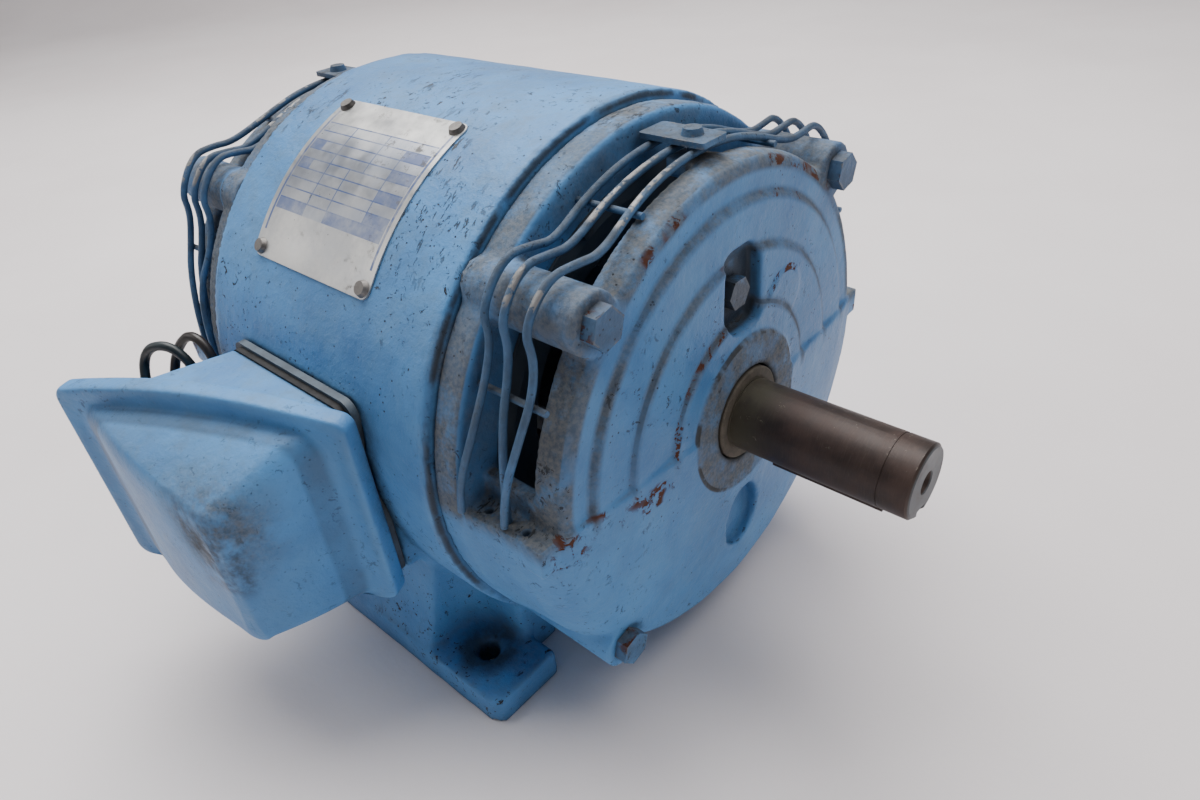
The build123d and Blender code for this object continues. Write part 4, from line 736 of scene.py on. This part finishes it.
# ---- Conduit box cover: a deep-drawn shell, its lip bowed and its sides swollen ----------------------
def cover_ring(w, u_far, u_near, low, high, radius, bow):
    """One loop round the cover, w out from the split, as points in metres. Lengths are given in mm: u counts
    along the split, low and high are heights, and the loop's top edge is bowed up by bow."""
    sides, arc = 8, 5      # points along each side and round each corner
    radius = min(radius, 0.45 * (u_near - u_far))
    corners = [(u_near - radius, high - radius, 0), (u_far + radius, high - radius, 90),
               (u_far + radius, low + radius, 180), (u_near - radius, low + radius, 270)]
    flat = []
    for u, z, start in corners:
        flat += [(u + radius * math.cos(math.radians(start + 90 * k / arc)),
                  z + radius * math.sin(math.radians(start + 90 * k / arc))) for k in range(arc + 1)]
    loop = []
    for k, (u, z) in enumerate(flat):
        loop.append((u, z))
        if k % (arc + 1) == arc:
            next_u, next_z = flat[(k + 1) % len(flat)]
            loop += [(u + (next_u - u) * i / sides, z + (next_z - z) * i / sides) for i in range(1, sides)]
    points = []
    for u, z in loop:
        high_part = max(0.0, (z - (low + high) / 2) / ((high - low) / 2))
        lift = bow * high_part ** 2 * math.sin(math.pi * min(1, max(0, u / (1000 * SPLIT_LENGTH))))
        place = LIP_FAR + ALONG * (u / 1000) + OUTWARD * (w / 1000)
        points.append(Vector((place.x, place.y, (z + lift) / 1000)))
    return points


def add_cover(material):
    """The cover's shell, drawn out from its lip to a rounded upright ridge."""
    # The lip and the groove under it, as arguments of cover_ring.
    rings = [(-5, 0, 128.6, 58.3, 145.9, 4.5, 6.3), (-1.5, 0, 128.6, 58.3, 145.9, 4.5, 6.3),
             (1.9, 0, 128.6, 58.3, 145.9, 4.5, 6.3), (3.0, 0.8, 127.8, 58.5, 145.0, 5, 6.3),
             (3.2, 3.2, 125.2, 58.8, 142.4, 8, 6.4), (2.4, 7.0, 121.5, 58.8, 139.6, 8, 6.2),
             (2.6, 10.5, 118.0, 58.4, 137.2, 8, 5.8), (5.0, 13.8, 114.6, 58.0, 137.6, 8, 5.2)]
    # The swollen body, which narrows to the ridge.
    steps = 13
    for k in range(2, steps + 1):
        t = k / steps * 0.94
        swell = math.sin(math.pi * t)
        rings.append((4 + 32 * t, 14 + 74 * t - 9 * swell, 114 - 26 * t + 2 * swell, 57.0 + 2 * t,
                      139.6 - 18 * t + 1.5 * swell, 7.5, 4.6 * (1 - t)))
    bm = bmesh.new()
    rows = [[bm.verts.new(point) for point in cover_ring(*ring)] for ring in rings]
    # The rounded ridge: a narrower loop a little further out, and a face across it.
    middle = sum((vert.co for vert in rows[-1]), Vector()) / len(rows[-1])
    rows.append([bm.verts.new(vert.co.lerp(middle, 0.35) + OUTWARD * 0.0009) for vert in rows[-1]])
    for row, beyond in zip(rows, rows[1:]):
        for k in range(len(row)):
            following = (k + 1) % len(row)
            bm.faces.new((row[k], row[following], beyond[following], beyond[k]))
    bm.faces.new(rows[-1])
    bmesh.ops.recalc_face_normals(bm, faces=bm.faces)
    mesh = bpy.data.meshes.new("conduit_cover_shell")
    bm.to_mesh(mesh)
    bm.free()
    for face in mesh.polygons:
        face.use_smooth = True
    mesh.materials.append(material)
    cover = bpy.data.objects.new("conduit_cover_shell", mesh)
    bpy.context.collection.objects.link(cover)
    solidify = cover.modifiers.new("sheet", "SOLIDIFY")
    solidify.thickness, solidify.offset = COVER_SHEET, -1
    subdivide = cover.modifiers.new("smooth", "SUBSURF")
    subdivide.levels = subdivide.render_levels = 2
    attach(cover, "frame")
    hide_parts("conduit_box_cover")


add_cover(enamel_box)


# ---- Motor leads -------------------------------------------------------------------------------------
BROWN_LEAD = [(-50, -144.5, 99.5), (-59, -141.7, 99.5), (-69, -138, 100), (-80, -133.5, 105),
              (-89, -129.5, 114), (-91.5, -124.5, 125), (-87, -120.5, 134.5), (-79, -117.8, 140.5),
              (-70.5, -116.3, 138.5), (-66, -116.2, 129.5), (-65.5, -117.5, 119), (-67.5, -121.5, 110),
              (-66.5, -127.5, 102.5), (-61.5, -132.5, 99.3), (-54.5, -135.3, 98.7)]
BLUE_LEAD = [(-50, -146, 107), (-60, -142.9, 107), (-71, -140.5, 107.5), (-83, -140.5, 111.5),
             (-93, -138.5, 120), (-96, -134.5, 130), (-91, -131, 137), (-83, -126.5, 138),
             (-76.5, -123.5, 132.5), (-74.5, -122.5, 123), (-74, -125, 113.5), (-69.5, -129.8, 107),
             (-61.5, -133.5, 105.3), (-53, -136.1, 105.3)]


def add_lead(name, route, colour, node):
    """One limp motor lead that loops out of the bushing and back in."""
    points = [tuple(c / 1000 for c in p) for p in route]
    lead = smooth_curve(name, [points], LEAD_R, plain(name + "_sleeve", colour, 0.42, contrast=0.5))
    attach(lead, "frame")
    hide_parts(node)


add_lead("brown_lead", BROWN_LEAD, (0.022, 0.016, 0.014), "motor_lead_brown")
add_lead("blue_lead", BLUE_LEAD, (0.016, 0.027, 0.032), "motor_lead_blue")
